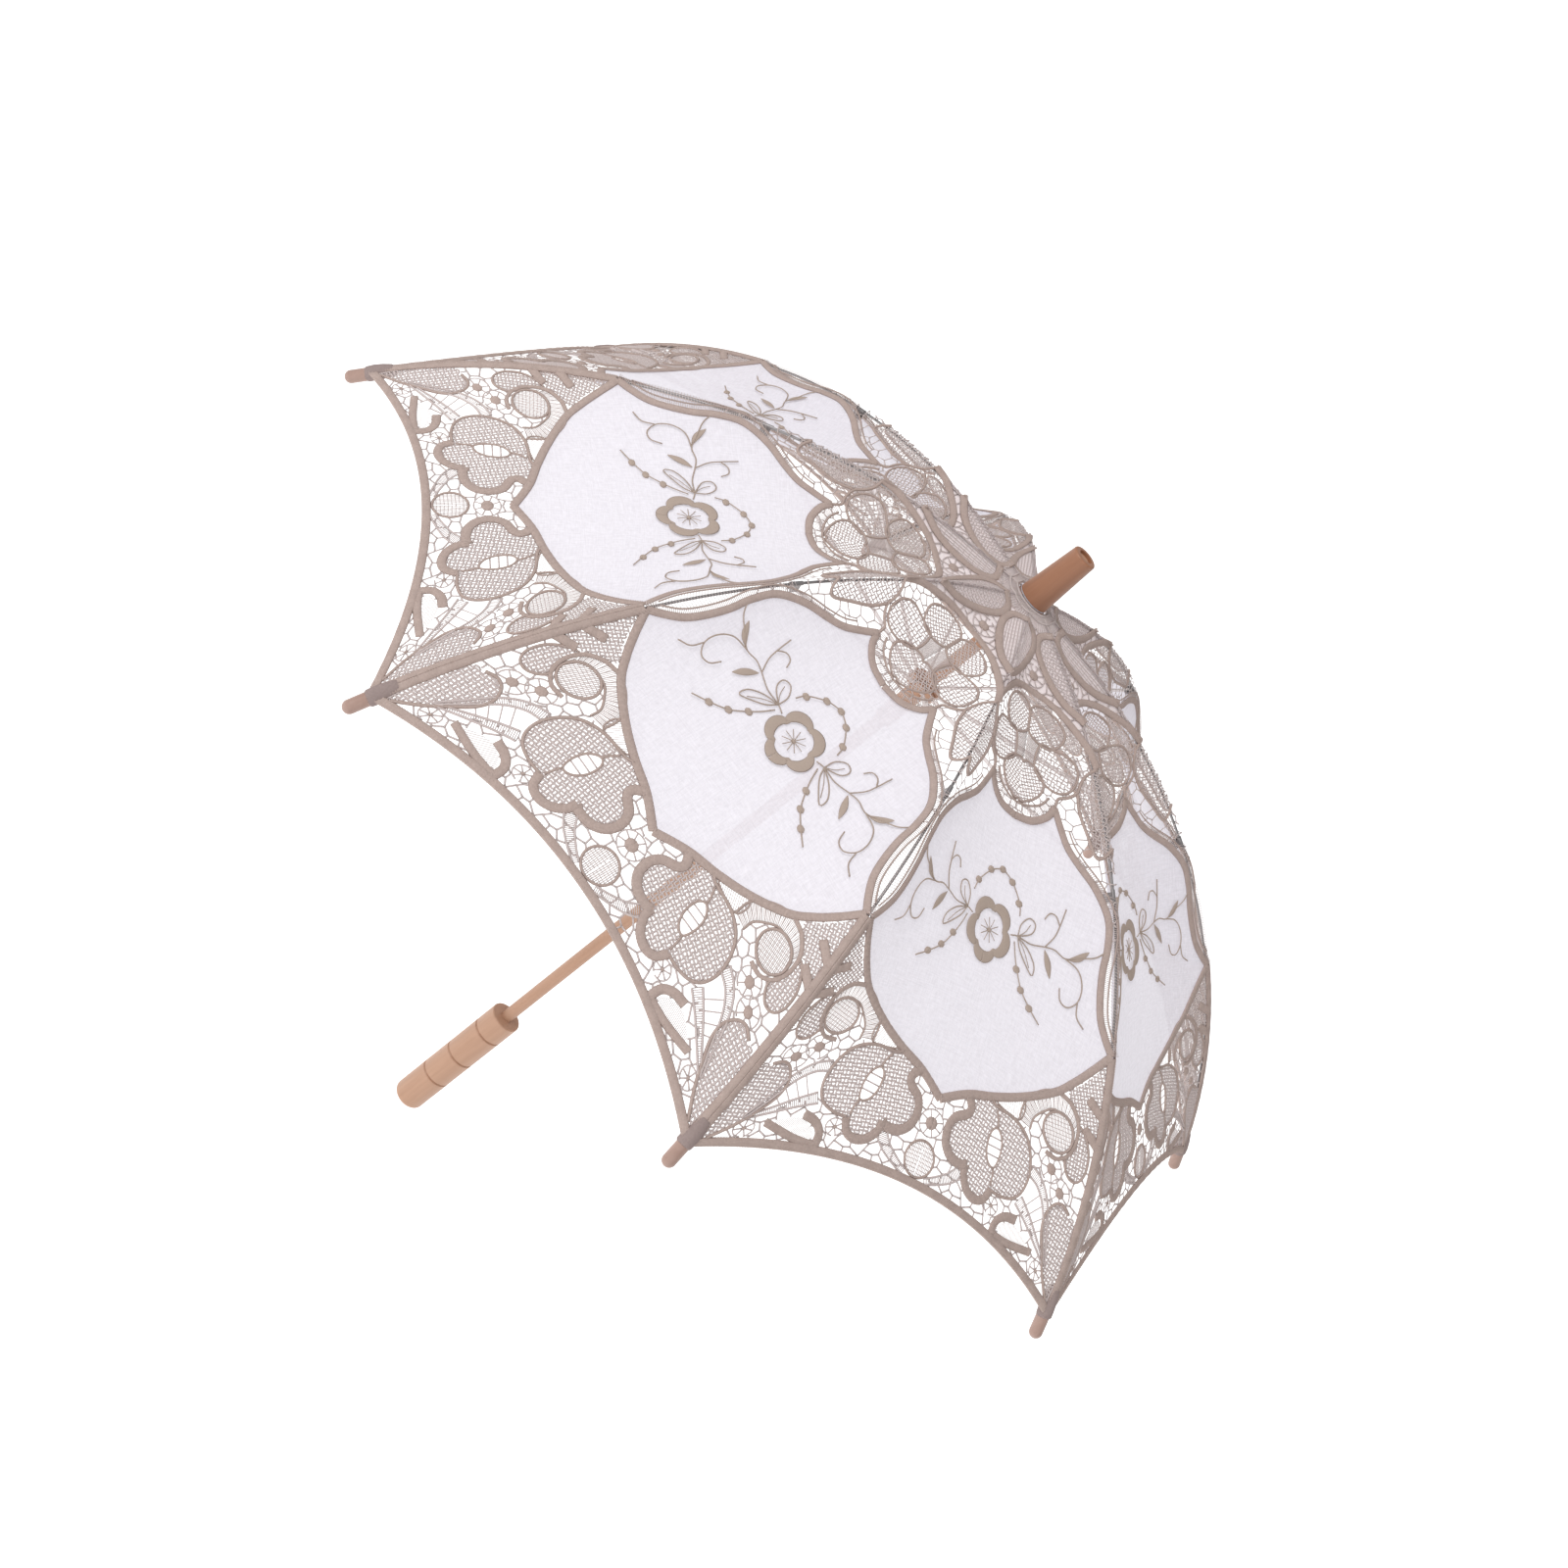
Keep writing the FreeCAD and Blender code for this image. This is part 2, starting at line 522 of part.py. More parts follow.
def canopy_point(along, across_gore, depth):
    """A point of the half gore beside rib 1. along runs from the crown, 0, to the hem, 1;
    across_gore from the middle of the gore, 0, to the rib, 1; depth is measured into the cloth."""
    angle = RING_ANGLE + along * (CORNER_ANGLE - RING_ANGLE)
    reach, height = on_circle(size["ridge_radius"] - depth, angle)
    rib = FreeCAD.Vector(reach, 0, height)
    outwards = FreeCAD.Vector(math.cos(HALF_STEP), math.sin(HALF_STEP), 0)
    chord = outwards * (reach * math.cos(HALF_STEP)) + UP * height
    slope = (outwards * (math.cos(HALF_STEP) * math.cos(angle)) - UP * math.sin(angle)).normalize()
    normal = outwards * -slope.z + UP * slope.dot(outwards)
    sag = normal * (4 * size["gore_sag"] * along * (1 - along))
    scallop = slope * (size["hem_scallop"] * along ** 2)
    bow = (sag + scallop) * (1 - across_gore ** 2)
    return chord + (rib - chord) * across_gore - bow


def canopy_surface(depth):
    """One smooth face of the half gore, kept a little clear of the rib's plane and the middle plane."""
    rows, columns = 15, 7
    grid = []
    for i in range(rows):
        along = i / (rows - 1)
        width = canopy_point(along, 1, depth).distanceToPoint(canopy_point(along, 0, depth))
        margin = size["cloth_gap"] / width
        grid.append([canopy_point(along, margin + (1 - 2 * margin) * j / (columns - 1), depth)
                     for j in range(columns)])
    surface = Part.BSplineSurface()
    surface.interpolate(grid)
    return surface.toShape()


def canopy_half():
    """The closed solid between the outer and the inner face of half a gore."""
    outer, inner = canopy_surface(0), canopy_surface(size["cloth"])
    faces = [outer, inner]
    for over, under in zip(outer.Edges, inner.Edges):
        faces.append(Part.makeRuledSurface(over, under))
    shell = Part.Shell(faces)
    shell.sewShape()
    solid = Part.Solid(Part.Shell(shell.Faces))
    if solid.Volume < 0:
        solid.reverse()
    return solid


def make_canopy(number, place, left, right):
    """The two half gores beside a rib: left is the side of rising azimuth."""
    for side, shape in (("left", left), ("right", right)):
        made = doc.addObject("Part::Feature", f"canopy_{side}_{number}")
        made.Shape = shape
        keep(made, f"canopy_{side}_{number}", place)


# ---------------------------------------------------------------- build and write

def check_objects():
    """Stops on any failed object or bad sub-part shape."""
    doc.recompute()
    failed = [o.Name for o in doc.Objects if {"Invalid", "Error"} & set(o.State)]
    bad = [o.Label for o in kept if o.Shape.isNull() or not o.Shape.isValid() or not o.Shape.Solids]
    if failed or bad:
        raise RuntimeError(f"failed objects: {failed}; bad shapes: {bad}")


make_shaft()
make_handle()
make_ferrule()
make_washer()
make_notch()
make_runner()
make_spring("top_spring", TOP_PIN, 1)
make_spring("bottom_spring", BOTTOM_PIN, -1)
make_pins()
left_half = canopy_half()
right_half = left_half.mirror(FreeCAD.Vector(), TANGENTIAL)
for k in range(RIBS):
    at_rib = turned(k * RIB_STEP)
    make_rib(k + 1, at_rib)
    make_tip(k + 1, at_rib)
    make_clip(k + 1, at_rib)
    make_stretcher(k + 1, at_rib)
    make_canopy(k + 1, at_rib, left_half, right_half)
check_objects()

os.makedirs("parts", exist_ok=True)
for part in kept:
    part.Shape.exportStep(f"parts/{part.Label}.step")
print(len(kept), "sub-parts")
print("rib pivot", RIB_PIVOT, "rib joint", RIB_JOINT, "link", LINK, "slope", math.degrees(LINK_SLOPE))
print("runner open", RUNNER_OPEN, "closed", RUNNER_CLOSED, "spring pins", TOP_PIN, BOTTOM_PIN)
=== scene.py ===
"""Looks of the lace parasol: a canopy of cotton shields set in tape lace, over the CAD frame.

The canopy is eight gores. Each gore is drawn flat, in millimetres, as half a pattern: across is the
distance from the middle of the gore and down the distance along it from the crown. The half pattern
is laid on the sagging surface between two ribs, and mirrored and turned for the other halves.
"""

import math
import random

import bpy
import numpy as np
from mathutils import Matrix, Vector


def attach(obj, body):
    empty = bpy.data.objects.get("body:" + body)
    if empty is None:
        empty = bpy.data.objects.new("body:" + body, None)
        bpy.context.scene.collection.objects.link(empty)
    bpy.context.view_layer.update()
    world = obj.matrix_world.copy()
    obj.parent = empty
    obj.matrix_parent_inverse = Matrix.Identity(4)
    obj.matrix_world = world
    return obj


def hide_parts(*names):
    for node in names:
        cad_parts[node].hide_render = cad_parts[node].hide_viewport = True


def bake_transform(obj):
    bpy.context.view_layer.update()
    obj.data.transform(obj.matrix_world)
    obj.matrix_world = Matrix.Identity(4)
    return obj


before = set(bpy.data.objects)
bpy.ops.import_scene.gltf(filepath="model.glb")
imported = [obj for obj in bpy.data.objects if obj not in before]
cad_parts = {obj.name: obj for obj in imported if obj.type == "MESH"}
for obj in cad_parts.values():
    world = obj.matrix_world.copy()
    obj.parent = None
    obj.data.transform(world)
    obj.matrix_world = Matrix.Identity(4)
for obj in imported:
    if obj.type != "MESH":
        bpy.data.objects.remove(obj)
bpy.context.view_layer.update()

MM = 0.001
RIBS = 8
HALF_STEP = math.pi / RIBS

# The canopy's shape, as in the CAD, in millimetres.
CROWN_HEIGHT = 576.0
RIDGE_RADIUS = 469.6
CENTRE_HEIGHT = CROWN_HEIGHT - RIDGE_RADIUS
RING_RADIUS = 12.6
POCKET_RADIUS = 392.0
GORE_SAG = 24.0
HEM_SCALLOP = 35.0
RING_ANGLE = math.asin(RING_RADIUS / RIDGE_RADIUS)
CORNER_ANGLE = math.asin(POCKET_RADIUS / RIDGE_RADIUS)
HEM = RIDGE_RADIUS * CORNER_ANGLE
CLOTH_DEPTH = 0.4

# Distance between the points of a tape and of a cord, in millimetres.
BRAID_STEP = 0.8
CORD_STEP = 1.6


# ---------------------------------------------------------------- the surface of a gore

def half_width(down):
    """Distance from the middle of the gore to the rib."""
    return RIDGE_RADIUS * np.sin(np.asarray(down, float) / RIDGE_RADIUS) * math.sin(HALF_STEP)


def on_gore(across, down):
    """Points of the ridge-high surface in millimetres, for rib 1 along +X and the gore towards +Y."""
    across, down = np.broadcast_arrays(np.asarray(across, float), np.asarray(down, float))
    angle = down / RIDGE_RADIUS
    along = (angle - RING_ANGLE) / (CORNER_ANGLE - RING_ANGLE)
    slope = np.stack([math.cos(HALF_STEP) * np.cos(angle), -np.sin(angle)], -1)
    slope /= np.linalg.norm(slope, axis=-1, keepdims=True)
    normal = np.stack([-slope[..., 1], slope[..., 0]], -1)
    bow = 4 * GORE_SAG * (along * (1 - along))[..., None] * normal
    bow += HEM_SCALLOP * (along ** 2)[..., None] * slope
    bow *= (1 - (across / half_width(down)) ** 2)[..., None]
    reach = RIDGE_RADIUS * math.cos(HALF_STEP) * np.sin(angle) - bow[..., 0]
    height = CENTRE_HEIGHT + RIDGE_RADIUS * np.cos(angle) - bow[..., 1]
    x = reach * math.cos(HALF_STEP) + across * math.sin(HALF_STEP)
    y = reach * math.sin(HALF_STEP) - across * math.cos(HALF_STEP)
    return np.stack([x, y, height], -1)


def gore_normal(across, down):
    """Unit normals of the surface, pointing out of the canopy."""
    step = 0.5
    sideways = on_gore(across + step, down) - on_gore(across - step, down)
    downwards = on_gore(across, down + step) - on_gore(across, down - step)
    normal = np.cross(sideways, downwards)
    normal /= np.linalg.norm(normal, axis=-1, keepdims=True)
    return normal * np.sign(normal[..., 2:3])


# ---------------------------------------------------------------- outlines on the flat pattern

def smooth(points, step=2.0, closed=False):
    """Points every step millimetres along a smooth curve through a few points of the pattern."""
    points = np.asarray(points, float)
    if closed:
        points = np.vstack([points[-1], points, points[0], points[1]])
    else:
        points = np.vstack([2 * points[0] - points[1], points, 2 * points[-1] - points[-2]])
    pieces = []
    for i in range(1, len(points) - 2):
        p0, p1, p2, p3 = points[i - 1:i + 3]
        count = max(2, int(np.linalg.norm(p2 - p1) / step * 2))
        t = np.linspace(0, 1, count, endpoint=False)[:, None]
        pieces.append(0.5 * (2 * p1 + (p2 - p0) * t + (2 * p0 - 5 * p1 + 4 * p2 - p3) * t ** 2
                             + (3 * p1 - p0 - 3 * p2 + p3) * t ** 3))
    dense = np.vstack(pieces + [points[-2][None]])
    return resample(dense, step)


def resample(line, step):
    """The same line with points spaced evenly, close to step apart."""
    lengths = np.r_[0, np.cumsum(np.linalg.norm(np.diff(line, axis=0), axis=1))]
    count = max(2, int(round(lengths[-1] / step)) + 1)
    wanted = np.linspace(0, lengths[-1], count)
    return np.stack([np.interp(wanted, lengths, line[:, i]) for i in range(2)], 1)


def offset(line, distance):
    """A line beside another, to its left as seen along it with down pointing up."""
    along = np.gradient(line, axis=0)
    along /= np.maximum(np.linalg.norm(along, axis=1, keepdims=True), 1e-9)
    return line + np.stack([-along[:, 1], along[:, 0]], 1) * distance


def inside(points, loop):
    """Which points lie inside a closed loop."""
    x, y = points[:, 0], points[:, 1]
    result = np.zeros(len(points), bool)
    x1, y1 = loop[-1]
    for x2, y2 in loop:
        crosses = (y1 > y) != (y2 > y)
        if crosses.any():
            at = x1 + (y - y1) * (x2 - x1) / (y2 - y1 if y2 != y1 else 1e-9)
            result ^= crosses & (x < at)
        x1, y1 = x2, y2
    return result


def ellipse(centre, radii, step=2.0, start=0.0, end=2 * math.pi):
    """A closed loop, or an arc, of an ellipse; angle 0 points down the gore."""
    size = max(radii)
    count = max(8, int(size * (end - start) / step))
    t = np.linspace(start, end, count, endpoint=end - start < 6.28)
    return np.stack([centre[0] + radii[0] * np.sin(t), centre[1] + radii[1] * np.cos(t)], 1)


# Outlines in (across, down), in millimetres. The panel is the cotton shield, the lobe is the medallion
# of the crown over it, and the pansies, snails, vees and seam leaves are in the border below it.
PANEL_SIDE = [(105.5, 303), (98, 295.5), (91, 286), (86, 273), (82, 256), (80, 239), (75, 221), (63, 205),
              (50, 194), (41, 185), (34, 173), (28, 161)]
PANEL_LOW = [(0, 404), (20, 391), (40, 381.5), (60, 368.5), (80, 350.5), (90, 335.6), (98, 320),
             (105.5, 303)]
LOBE_LOW = [(28, 161), (24, 170), (14, 178.5), (0, 181.5)]
LOBE_SIDE = [(28, 161), (29, 153), (34, 150), (39, 144), (40, 136), (42, 129), (46.3, 123)]
LOBE_TOP = [(0, 80), (10, 81.5), (20, 87.5), (30, 98), (40, 111), (46.3, 123)]
PETAL = [(11.4, 30), (6, 31), (2.2, 36), (3, 48), (12, 66), (22, 80), (31, 88.5), (35.2, 92.5)]
RIB_LEAF = [(39.5, 144), (43, 157), (50.5, 171), (58.5, 184), (63, 181), (65.1, 174)]
UPPER_CELL = [(0, 111.5), (0, 96), (5, 89.5), (14, 90), (23, 98), (26, 108), (20, 118), (11, 118.5)]
SIDE_CELL = [(11, 118.5), (20, 118), (32, 121), (37.5, 131), (36, 143), (29, 149), (19, 147), (9, 137)]
CORE_CELL = [(0, 111.5), (11, 118.5), (9, 137), (0, 138.5)]
LOWER_CELL = [(0, 138.5), (9, 137), (17, 145), (17, 155), (9.5, 164.5), (0, 167)]
PANSY_TOP = [(21, 391), (25.5, 397.5), (24, 403.5), (16, 410), (13, 419), (15, 429), (22, 435.5),
             (31, 436.5), (35.5, 434)]
PANSY_FOOT = [(35.5, 434), (36.5, 441), (42, 448), (50, 450.5), (57.5, 447), (61, 438)]
PANSY_BACK = [(61, 438), (70, 436.5), (79, 432), (84.5, 424), (85.5, 412), (81.5, 400), (73, 390),
              (60, 385.5), (44, 386), (38, 383.5)]
PANSY_EYE = [(46, 404), (50, 399), (56, 404), (58.5, 414), (57, 424), (51, 423), (46.5, 415)]
CORNER_CELL = [(43, 382), (62, 370.5), (64, 383), (52, 385)]
# An ellipse is its centre and its two radii.
SNAIL = (93, 371), (12.2, 12.8)
SNAIL_TAPE = [(84, 347.5), (94, 348.5), (103, 355), (107, 366), (106, 378), (99, 386.5), (90, 388)]
SNAIL_OUTSIDE = [(63, 384), (62.5, 372), (67, 361), (76, 351.5), (86, 347.5), (96, 350), (103, 358),
                 (105.5, 368)]
SNAIL_INSIDE = [(73, 384), (73, 375), (78.5, 366), (84, 360.5), (93, 358.5), (99, 360.5), (103, 365.5),
                (105, 370)]
NET_CRESCENT = [(106, 357), (113, 360.5), (119.5, 369), (122, 380), (119, 388), (112, 389.5), (105, 382),
                (107.5, 368)]
CORNER_NET = [(106, 308), (112, 322), (117, 340), (121, 356), (113, 359), (104, 354), (92, 347),
              (89, 342), (95, 333), (102, 318)]
SEAM_LEAF = [(125, 408), (118, 406.5), (112, 411), (109, 421), (111.5, 431), (118, 440), (128, 451),
             (141, 461)]
TAPE_LOW = [(85, 429), (97, 434), (111, 440.5), (126, 447)]
TAPE_HIGH = [(84.5, 406), (95, 408.5), (104, 415), (111, 424), (118, 435), (126, 446)]
VEE_NEAR = [(74, 462), (74.5, 452), (80, 445), (89, 441)]
VEE_FAR = [(75, 461), (88, 458.5), (99, 454.5), (111, 449)]
VEE_FAN = [(78, 457), (80, 450), (91, 443.5), (106, 448.5), (95, 454)]
DISC = (0, 447.5), (11.5, 12.5)
COMMA = [(33, 441.5), (26.5, 449), (17, 455.5), (9, 459.5)]
# Woven dots: centre and radius.
DOTS = [((0, 422), 4.6), ((99, 394.5), 3.8), ((112, 402.5), 3.6), ((0, 67), 3.8), ((66, 446), 1.2),
        ((122, 454), 1.2)]


def closed_polygon(*lines):
    """One loop made of smooth lines, each joined straight to the next."""
    return np.vstack([smooth(line) for line in lines])


SEAM_EDGE = [(float(half_width(s)) - 4.5, s) for s in (461, 450, 440, 430, 420, 408)]
PANSY = closed_polygon(PANSY_TOP, PANSY_FOOT, PANSY_BACK)
PANEL = closed_polygon(PANEL_LOW, PANEL_SIDE, LOBE_LOW)
LEAF_CELL = closed_polygon(SEAM_LEAF, SEAM_EDGE)
RIB_EDGE = [(float(half_width(s)), s) for s in (174, 160, 145, 133, 124)]
RIB_LEAF_CELL = closed_polygon(RIB_LEAF, RIB_EDGE, [(46.3, 124), (42, 129), (40, 136), (39.5, 144)])
PETAL_EDGE = [(float(half_width(s)), s) for s in (92.5, 75, 55, 40, 30)]
PETAL_CELL = closed_polygon(PETAL, PETAL_EDGE)
LOBE_CELL = closed_polygon(LOBE_TOP, LOBE_SIDE[::-1], LOBE_LOW)
LOBE_HALF = closed_polygon(LOBE_TOP, LOBE_SIDE[::-1], LOBE_LOW, [(0, 181), (0, 80)])


# ---------------------------------------------------------------- strands laid on the gore

class Strands:
    """Collects tubes and ribbons laid on the half gore into one mesh."""

    def __init__(self):
        self.points, self.faces, self.count = [], [], 0
        self.waiting = []

    def lay(self, line, profile, lift=0.0, closed=False):
        """Sweeps a closed profile of (sideways, up) pairs along a line; it may vary along the line."""
        if len(line) < 2:
            return
        across, down = line[:, 0], line[:, 1]
        middle = on_gore(across, down)
        normal = gore_normal(across, down)
        ahead = np.gradient(middle, axis=0)
        if closed:
            ahead = np.roll(middle, -1, axis=0) - np.roll(middle, 1, axis=0)
        ahead /= np.maximum(np.linalg.norm(ahead, axis=1, keepdims=True), 1e-9)
        side = np.cross(ahead, normal)
        profile = np.broadcast_to(profile, (len(line),) + np.shape(profile)[-2:])
        up = profile[..., 1] + lift - CLOTH_DEPTH
        rings = middle[:, None] + side[:, None] * profile[..., :1] + normal[:, None] * up[..., None]
        self.add_rings(rings, closed)

    def add_rings(self, rings, closed=False):
        """Joins rings of points into a tube, with end caps unless it is closed."""
        rows, columns = rings.shape[:2]
        base = self.count
        i = np.arange(rows if closed else rows - 1)[:, None]
        j = np.arange(columns)[None, :]
        following, beside = (i + 1) % rows, (j + 1) % columns
        quads = np.stack([i * columns + j, following * columns + j, following * columns + beside,
                          i * columns + beside], -1).reshape(-1, 4)
        self.faces += (quads + base).tolist()
        if not closed:
            self.faces.append(list(range(base, base + columns)))
            self.faces.append(list(range(base + (rows - 1) * columns, base + rows * columns))[::-1])
        self.points.append(rings.reshape(-1, 3))
        self.count += rows * columns

    def disc(self, centre, radius, height):
        """A small domed dot or bead."""
        rings = []
        for share, up in ((1.0, -0.5), (1.0, 0.2), (0.7, 1.0), (0.25, 1.3)):
            loop = ellipse(centre, (radius * share, radius * share), 1.0)[:-1]
            loop = loop[np.linspace(0, len(loop) - 1, 10).astype(int)]
            loop[:, 0] = np.maximum(loop[:, 0], 0) if centre[0] == 0 else loop[:, 0]
            spot = on_gore(loop[:, 0], loop[:, 1])
            rings.append(spot + gore_normal(loop[:, 0], loop[:, 1]) * (up * height - CLOTH_DEPTH))
        self.add_rings(np.array(rings))

    def spin(self):
        """Lays every waiting thread, three-sided, in one go."""
        if not self.waiting:
            return
        sizes = np.array([len(line) for line, _ in self.waiting])
        spots = np.vstack([line for line, _ in self.waiting])
        radius = np.repeat([radius for _, radius in self.waiting], sizes)[:, None, None]
        first = np.repeat(np.cumsum(sizes) - sizes, sizes)
        last = np.repeat(np.cumsum(sizes) - 1, sizes)
        index = np.arange(len(spots))
        middle = on_gore(spots[:, 0], spots[:, 1])
        normal = gore_normal(spots[:, 0], spots[:, 1])
        ahead = middle[np.minimum(index + 1, last)] - middle[np.maximum(index - 1, first)]
        ahead /= np.maximum(np.linalg.norm(ahead, axis=1, keepdims=True), 1e-9)
        side = np.cross(ahead, normal)
        profile = np.array([(-1.0, -0.25), (0.0, 0.5), (1.0, -0.25)]) * radius
        up = profile[..., 1:] - CLOTH_DEPTH
        rings = middle[:, None] + side[:, None] * profile[..., :1] + normal[:, None] * up
        base = self.count + 3 * index
        going = base[index != last]
        for j in range(3):
            k = (j + 1) % 3
            self.faces += np.stack([going + j, going + 3 + j, going + 3 + k, going + k], 1).tolist()
        starts, ends = base[index == first], base[index == last]
        self.faces += np.stack([starts, starts + 1, starts + 2], 1).tolist()
        self.faces += np.stack([ends + 2, ends + 1, ends], 1).tolist()
        self.points.append(rings.reshape(-1, 3))
        self.count += 3 * len(spots)
        self.waiting = []

    def arrays(self):
        """The whole mesh: points in metres, and faces."""
        self.spin()
        return np.vstack(self.points) * MM, self.faces


def braid(strands, points, width, height=0.9, rib=1.7, ready=False):
    """A woven tape with raised cords across it, rib apart, and a bead along each edge."""
    line = resample(points, BRAID_STEP) if ready else smooth(points, BRAID_STEP)
    travelled = np.r_[0, np.cumsum(np.linalg.norm(np.diff(line, axis=0), axis=1))]
    swell = 0.5 + 0.5 * np.sin(2 * math.pi * travelled / rib)
    half = width / 2 * (0.94 + 0.08 * swell)
    top = height * (0.55 + 0.45 * swell)
    flat = np.zeros_like(half)
    profile = np.stack([np.stack([-half, flat], 1), np.stack([-half * 0.75, top], 1),
                        np.stack([flat, top * 0.82], 1), np.stack([half * 0.75, top], 1),
                        np.stack([half, flat], 1), np.stack([flat, flat - height * 0.55], 1)], 1)
    strands.lay(line, profile, 0.1)


def cord(strands, points, width=1.5, closed=False, ready=False, lift=0.1):
    """A thin laid cord."""
    line = resample(points, CORD_STEP) if ready else smooth(points, CORD_STEP, closed)
    if closed:
        line = line[:-1]
    half = width / 2
    strands.lay(line, [(-half, 0), (0, half * 1.1), (half, 0), (0, -half * 0.8)], lift, closed)


def thread(strands, line, radius=0.26, step=3.0):
    """One thin thread."""
    strands.waiting.append((resample(np.asarray(line, float), step), radius))


def clipped(lines, loop, holes=()):
    """The stretches of some lines, all with as many points, inside a loop and outside the holes."""
    lines = np.asarray(lines)
    spots = lines.reshape(-1, 2)
    keep = inside(spots, loop) & (spots[:, 0] >= 0) & (spots[:, 0] <= half_width(spots[:, 1]))
    for hole in holes:
        keep &= ~inside(spots, hole)
    pieces = []
    for line, kept in zip(lines, keep.reshape(lines.shape[:2])):
        edges = np.flatnonzero(np.diff(np.r_[0, kept.astype(int), 0]))
        pieces += [line[a:b] for a, b in zip(edges[::2], edges[1::2]) if b - a > 2]
    return pieces


def box_of(loop, margin=4):
    """The lowest and highest corners of a loop, with a margin round it."""
    low, high = loop.min(axis=0) - margin, loop.max(axis=0) + margin
    return low, high


def fill_lines(strands, loop, spacing, angle, radius=0.3, wave=0.0, pitch=4.0, holes=(), step=3.0,
               drift=0.0):
    """Parallel threads, straight or wavy, across a cell.

    angle 0 runs across the gore, and drift makes the waves wander.
    """
    low, high = box_of(loop)
    centre, reach = (low + high) / 2, np.linalg.norm(high - low) / 2
    ahead = np.array([math.cos(angle), math.sin(angle)])
    side = np.array([-ahead[1], ahead[0]])
    travel = np.arange(-reach, reach, 0.45)
    lines = []
    for number, shift in enumerate(np.arange(-reach, reach, spacing)):
        phase = math.pi * (number % 2) + drift * np.sin(travel * 0.31 + 2.4 * number)
        sway = wave * np.sin(2 * math.pi * travel / pitch + phase)
        lines.append(centre + ahead * travel[:, None] + side * (shift + sway)[:, None])
    for piece in clipped(lines, loop, holes):
        thread(strands, piece, radius, step)


def fill_net(strands, loop, cell=3.0, radius=0.38, angle=0.3, holes=()):
    """A net of wavy threads that touch their neighbours, so its holes are staggered."""
    fill_lines(strands, loop, cell * 0.62, angle, radius, cell * 0.27, cell * 1.25, holes, cell * 0.31,
               drift=1.1)


def fill_weave(strands, loop, spacing=1.15, angle=1.2):
    """A fine open weave: close threads one way and sparser ones the other."""
    fill_lines(strands, loop, spacing, angle, 0.3, 0.12, 5.0, step=4.0)
    fill_lines(strands, loop, spacing * 2.2, angle + math.pi / 2, 0.22, 0.1, 6.0, step=4.0)


def ladder(strands, points, width, spacing=1.5, edge=1.0, radius=0.22, taper=1.0):
    """Two cords with threads between them."""
    step = 1.2
    line = smooth(points, step)
    share = np.linspace(1, taper, len(line))
    left, right = offset(line, 1) - line, offset(line, -1) - line
    left, right = line + left * (width / 2 * share)[:, None], line + right * (width / 2 * share)[:, None]
    for side in (left, right):
        cord(strands, side, edge, ready=True)
    count = max(2, int(len(line) * step / spacing))
    for t in np.linspace(0, len(line) - 1, count):
        i = int(t)
        thread(strands, [left[i], right[i]], radius, 4.0)


def infill(strands, first, second, spacing=1.1, radius=0.24):
    """Threads from one line to another beside it."""
    first, second = smooth(first, 1.0), smooth(second, 1.0)
    count = int(max(len(first), len(second)) / spacing)
    for share in np.linspace(0.02, 0.98, count):
        ends = [line[int(share * (len(line) - 1))] for line in (first, second)]
        thread(strands, ends, radius, 4.0)


def rungs(strands, points, distance, spacing=1.3, radius=0.22, lean=0.0):
    """Threads that stand off one side of a line, as along the edge of a tape."""
    line = smooth(points, spacing)
    beside = offset(line, distance)
    shift = int(round(lean / spacing))
    for i in range(len(line) - abs(shift)):
        thread(strands, [line[i], beside[i + shift]], radius, 5.0)


def honeycomb(strands, loop, cell, holes, radius, seed):
    """An irregular web of hexagonal cells joined by thin bars."""
    chance = random.Random(seed)
    low, high = box_of(loop, cell)
    row_step = cell * 0.75
    column_step = cell * 0.866
    wander = 0.17
    rows = int((high[1] - low[1]) / row_step) + 2
    columns = int((high[0] - low[0]) / column_step) + 2
    corners = {}

    def corner(i, j, k):
        """Corner k, 0 or 1, of the cell in row i and column j, moved a little at random."""
        key = (i, j, k)
        if key not in corners:
            x = low[0] + (j + 0.5 * (i % 2)) * column_step
            y = low[1] + i * row_step + (cell * 0.25 if k else -cell * 0.25)
            corners[key] = np.array([x + chance.uniform(-wander, wander) * cell,
                                     y + chance.uniform(-wander, wander) * cell])
        return corners[key]

    bars = []
    share = np.linspace(0, 1, 14)[:, None]
    for i in range(rows):
        for j in range(columns):
            start = corner(i, j, 1)
            right = j + (i % 2)
            for end in (corner(i, j, 0), corner(i + 1, right, 0), corner(i + 1, right - 1, 0)):
                bars.append(start + (end - start) * share)
    for piece in clipped(bars, loop, holes):
        thread(strands, piece, radius, 3.0)


def spider(strands, centre, radius, reach, legs, bar=0.5):
    """The spokes and the ring round a woven dot, kept on this side of the gore's middle."""
    for k in range(legs):
        t = 2 * math.pi * (k + 0.5) / legs
        way = np.array([math.sin(t), math.cos(t)])
        line = np.array(centre) + way * np.linspace(radius * 0.7, reach, 8)[:, None]
        if (line[:, 0] >= -0.01).all():
            thread(strands, line, bar, 3.0)
    ring = ellipse(centre, (reach, reach), 2.0)
    for piece in clipped([ring], ellipse(centre, (reach + 1, reach + 1))):
        thread(strands, piece, bar, 2.5)


# ---------------------------------------------------------------- the half gore's lace

def seam_line(start, end, inset):
    """A line down the gore, inset from its rib."""
    down = np.arange(start, end, 2.0)
    return np.stack([half_width(down) - inset, down], 1)


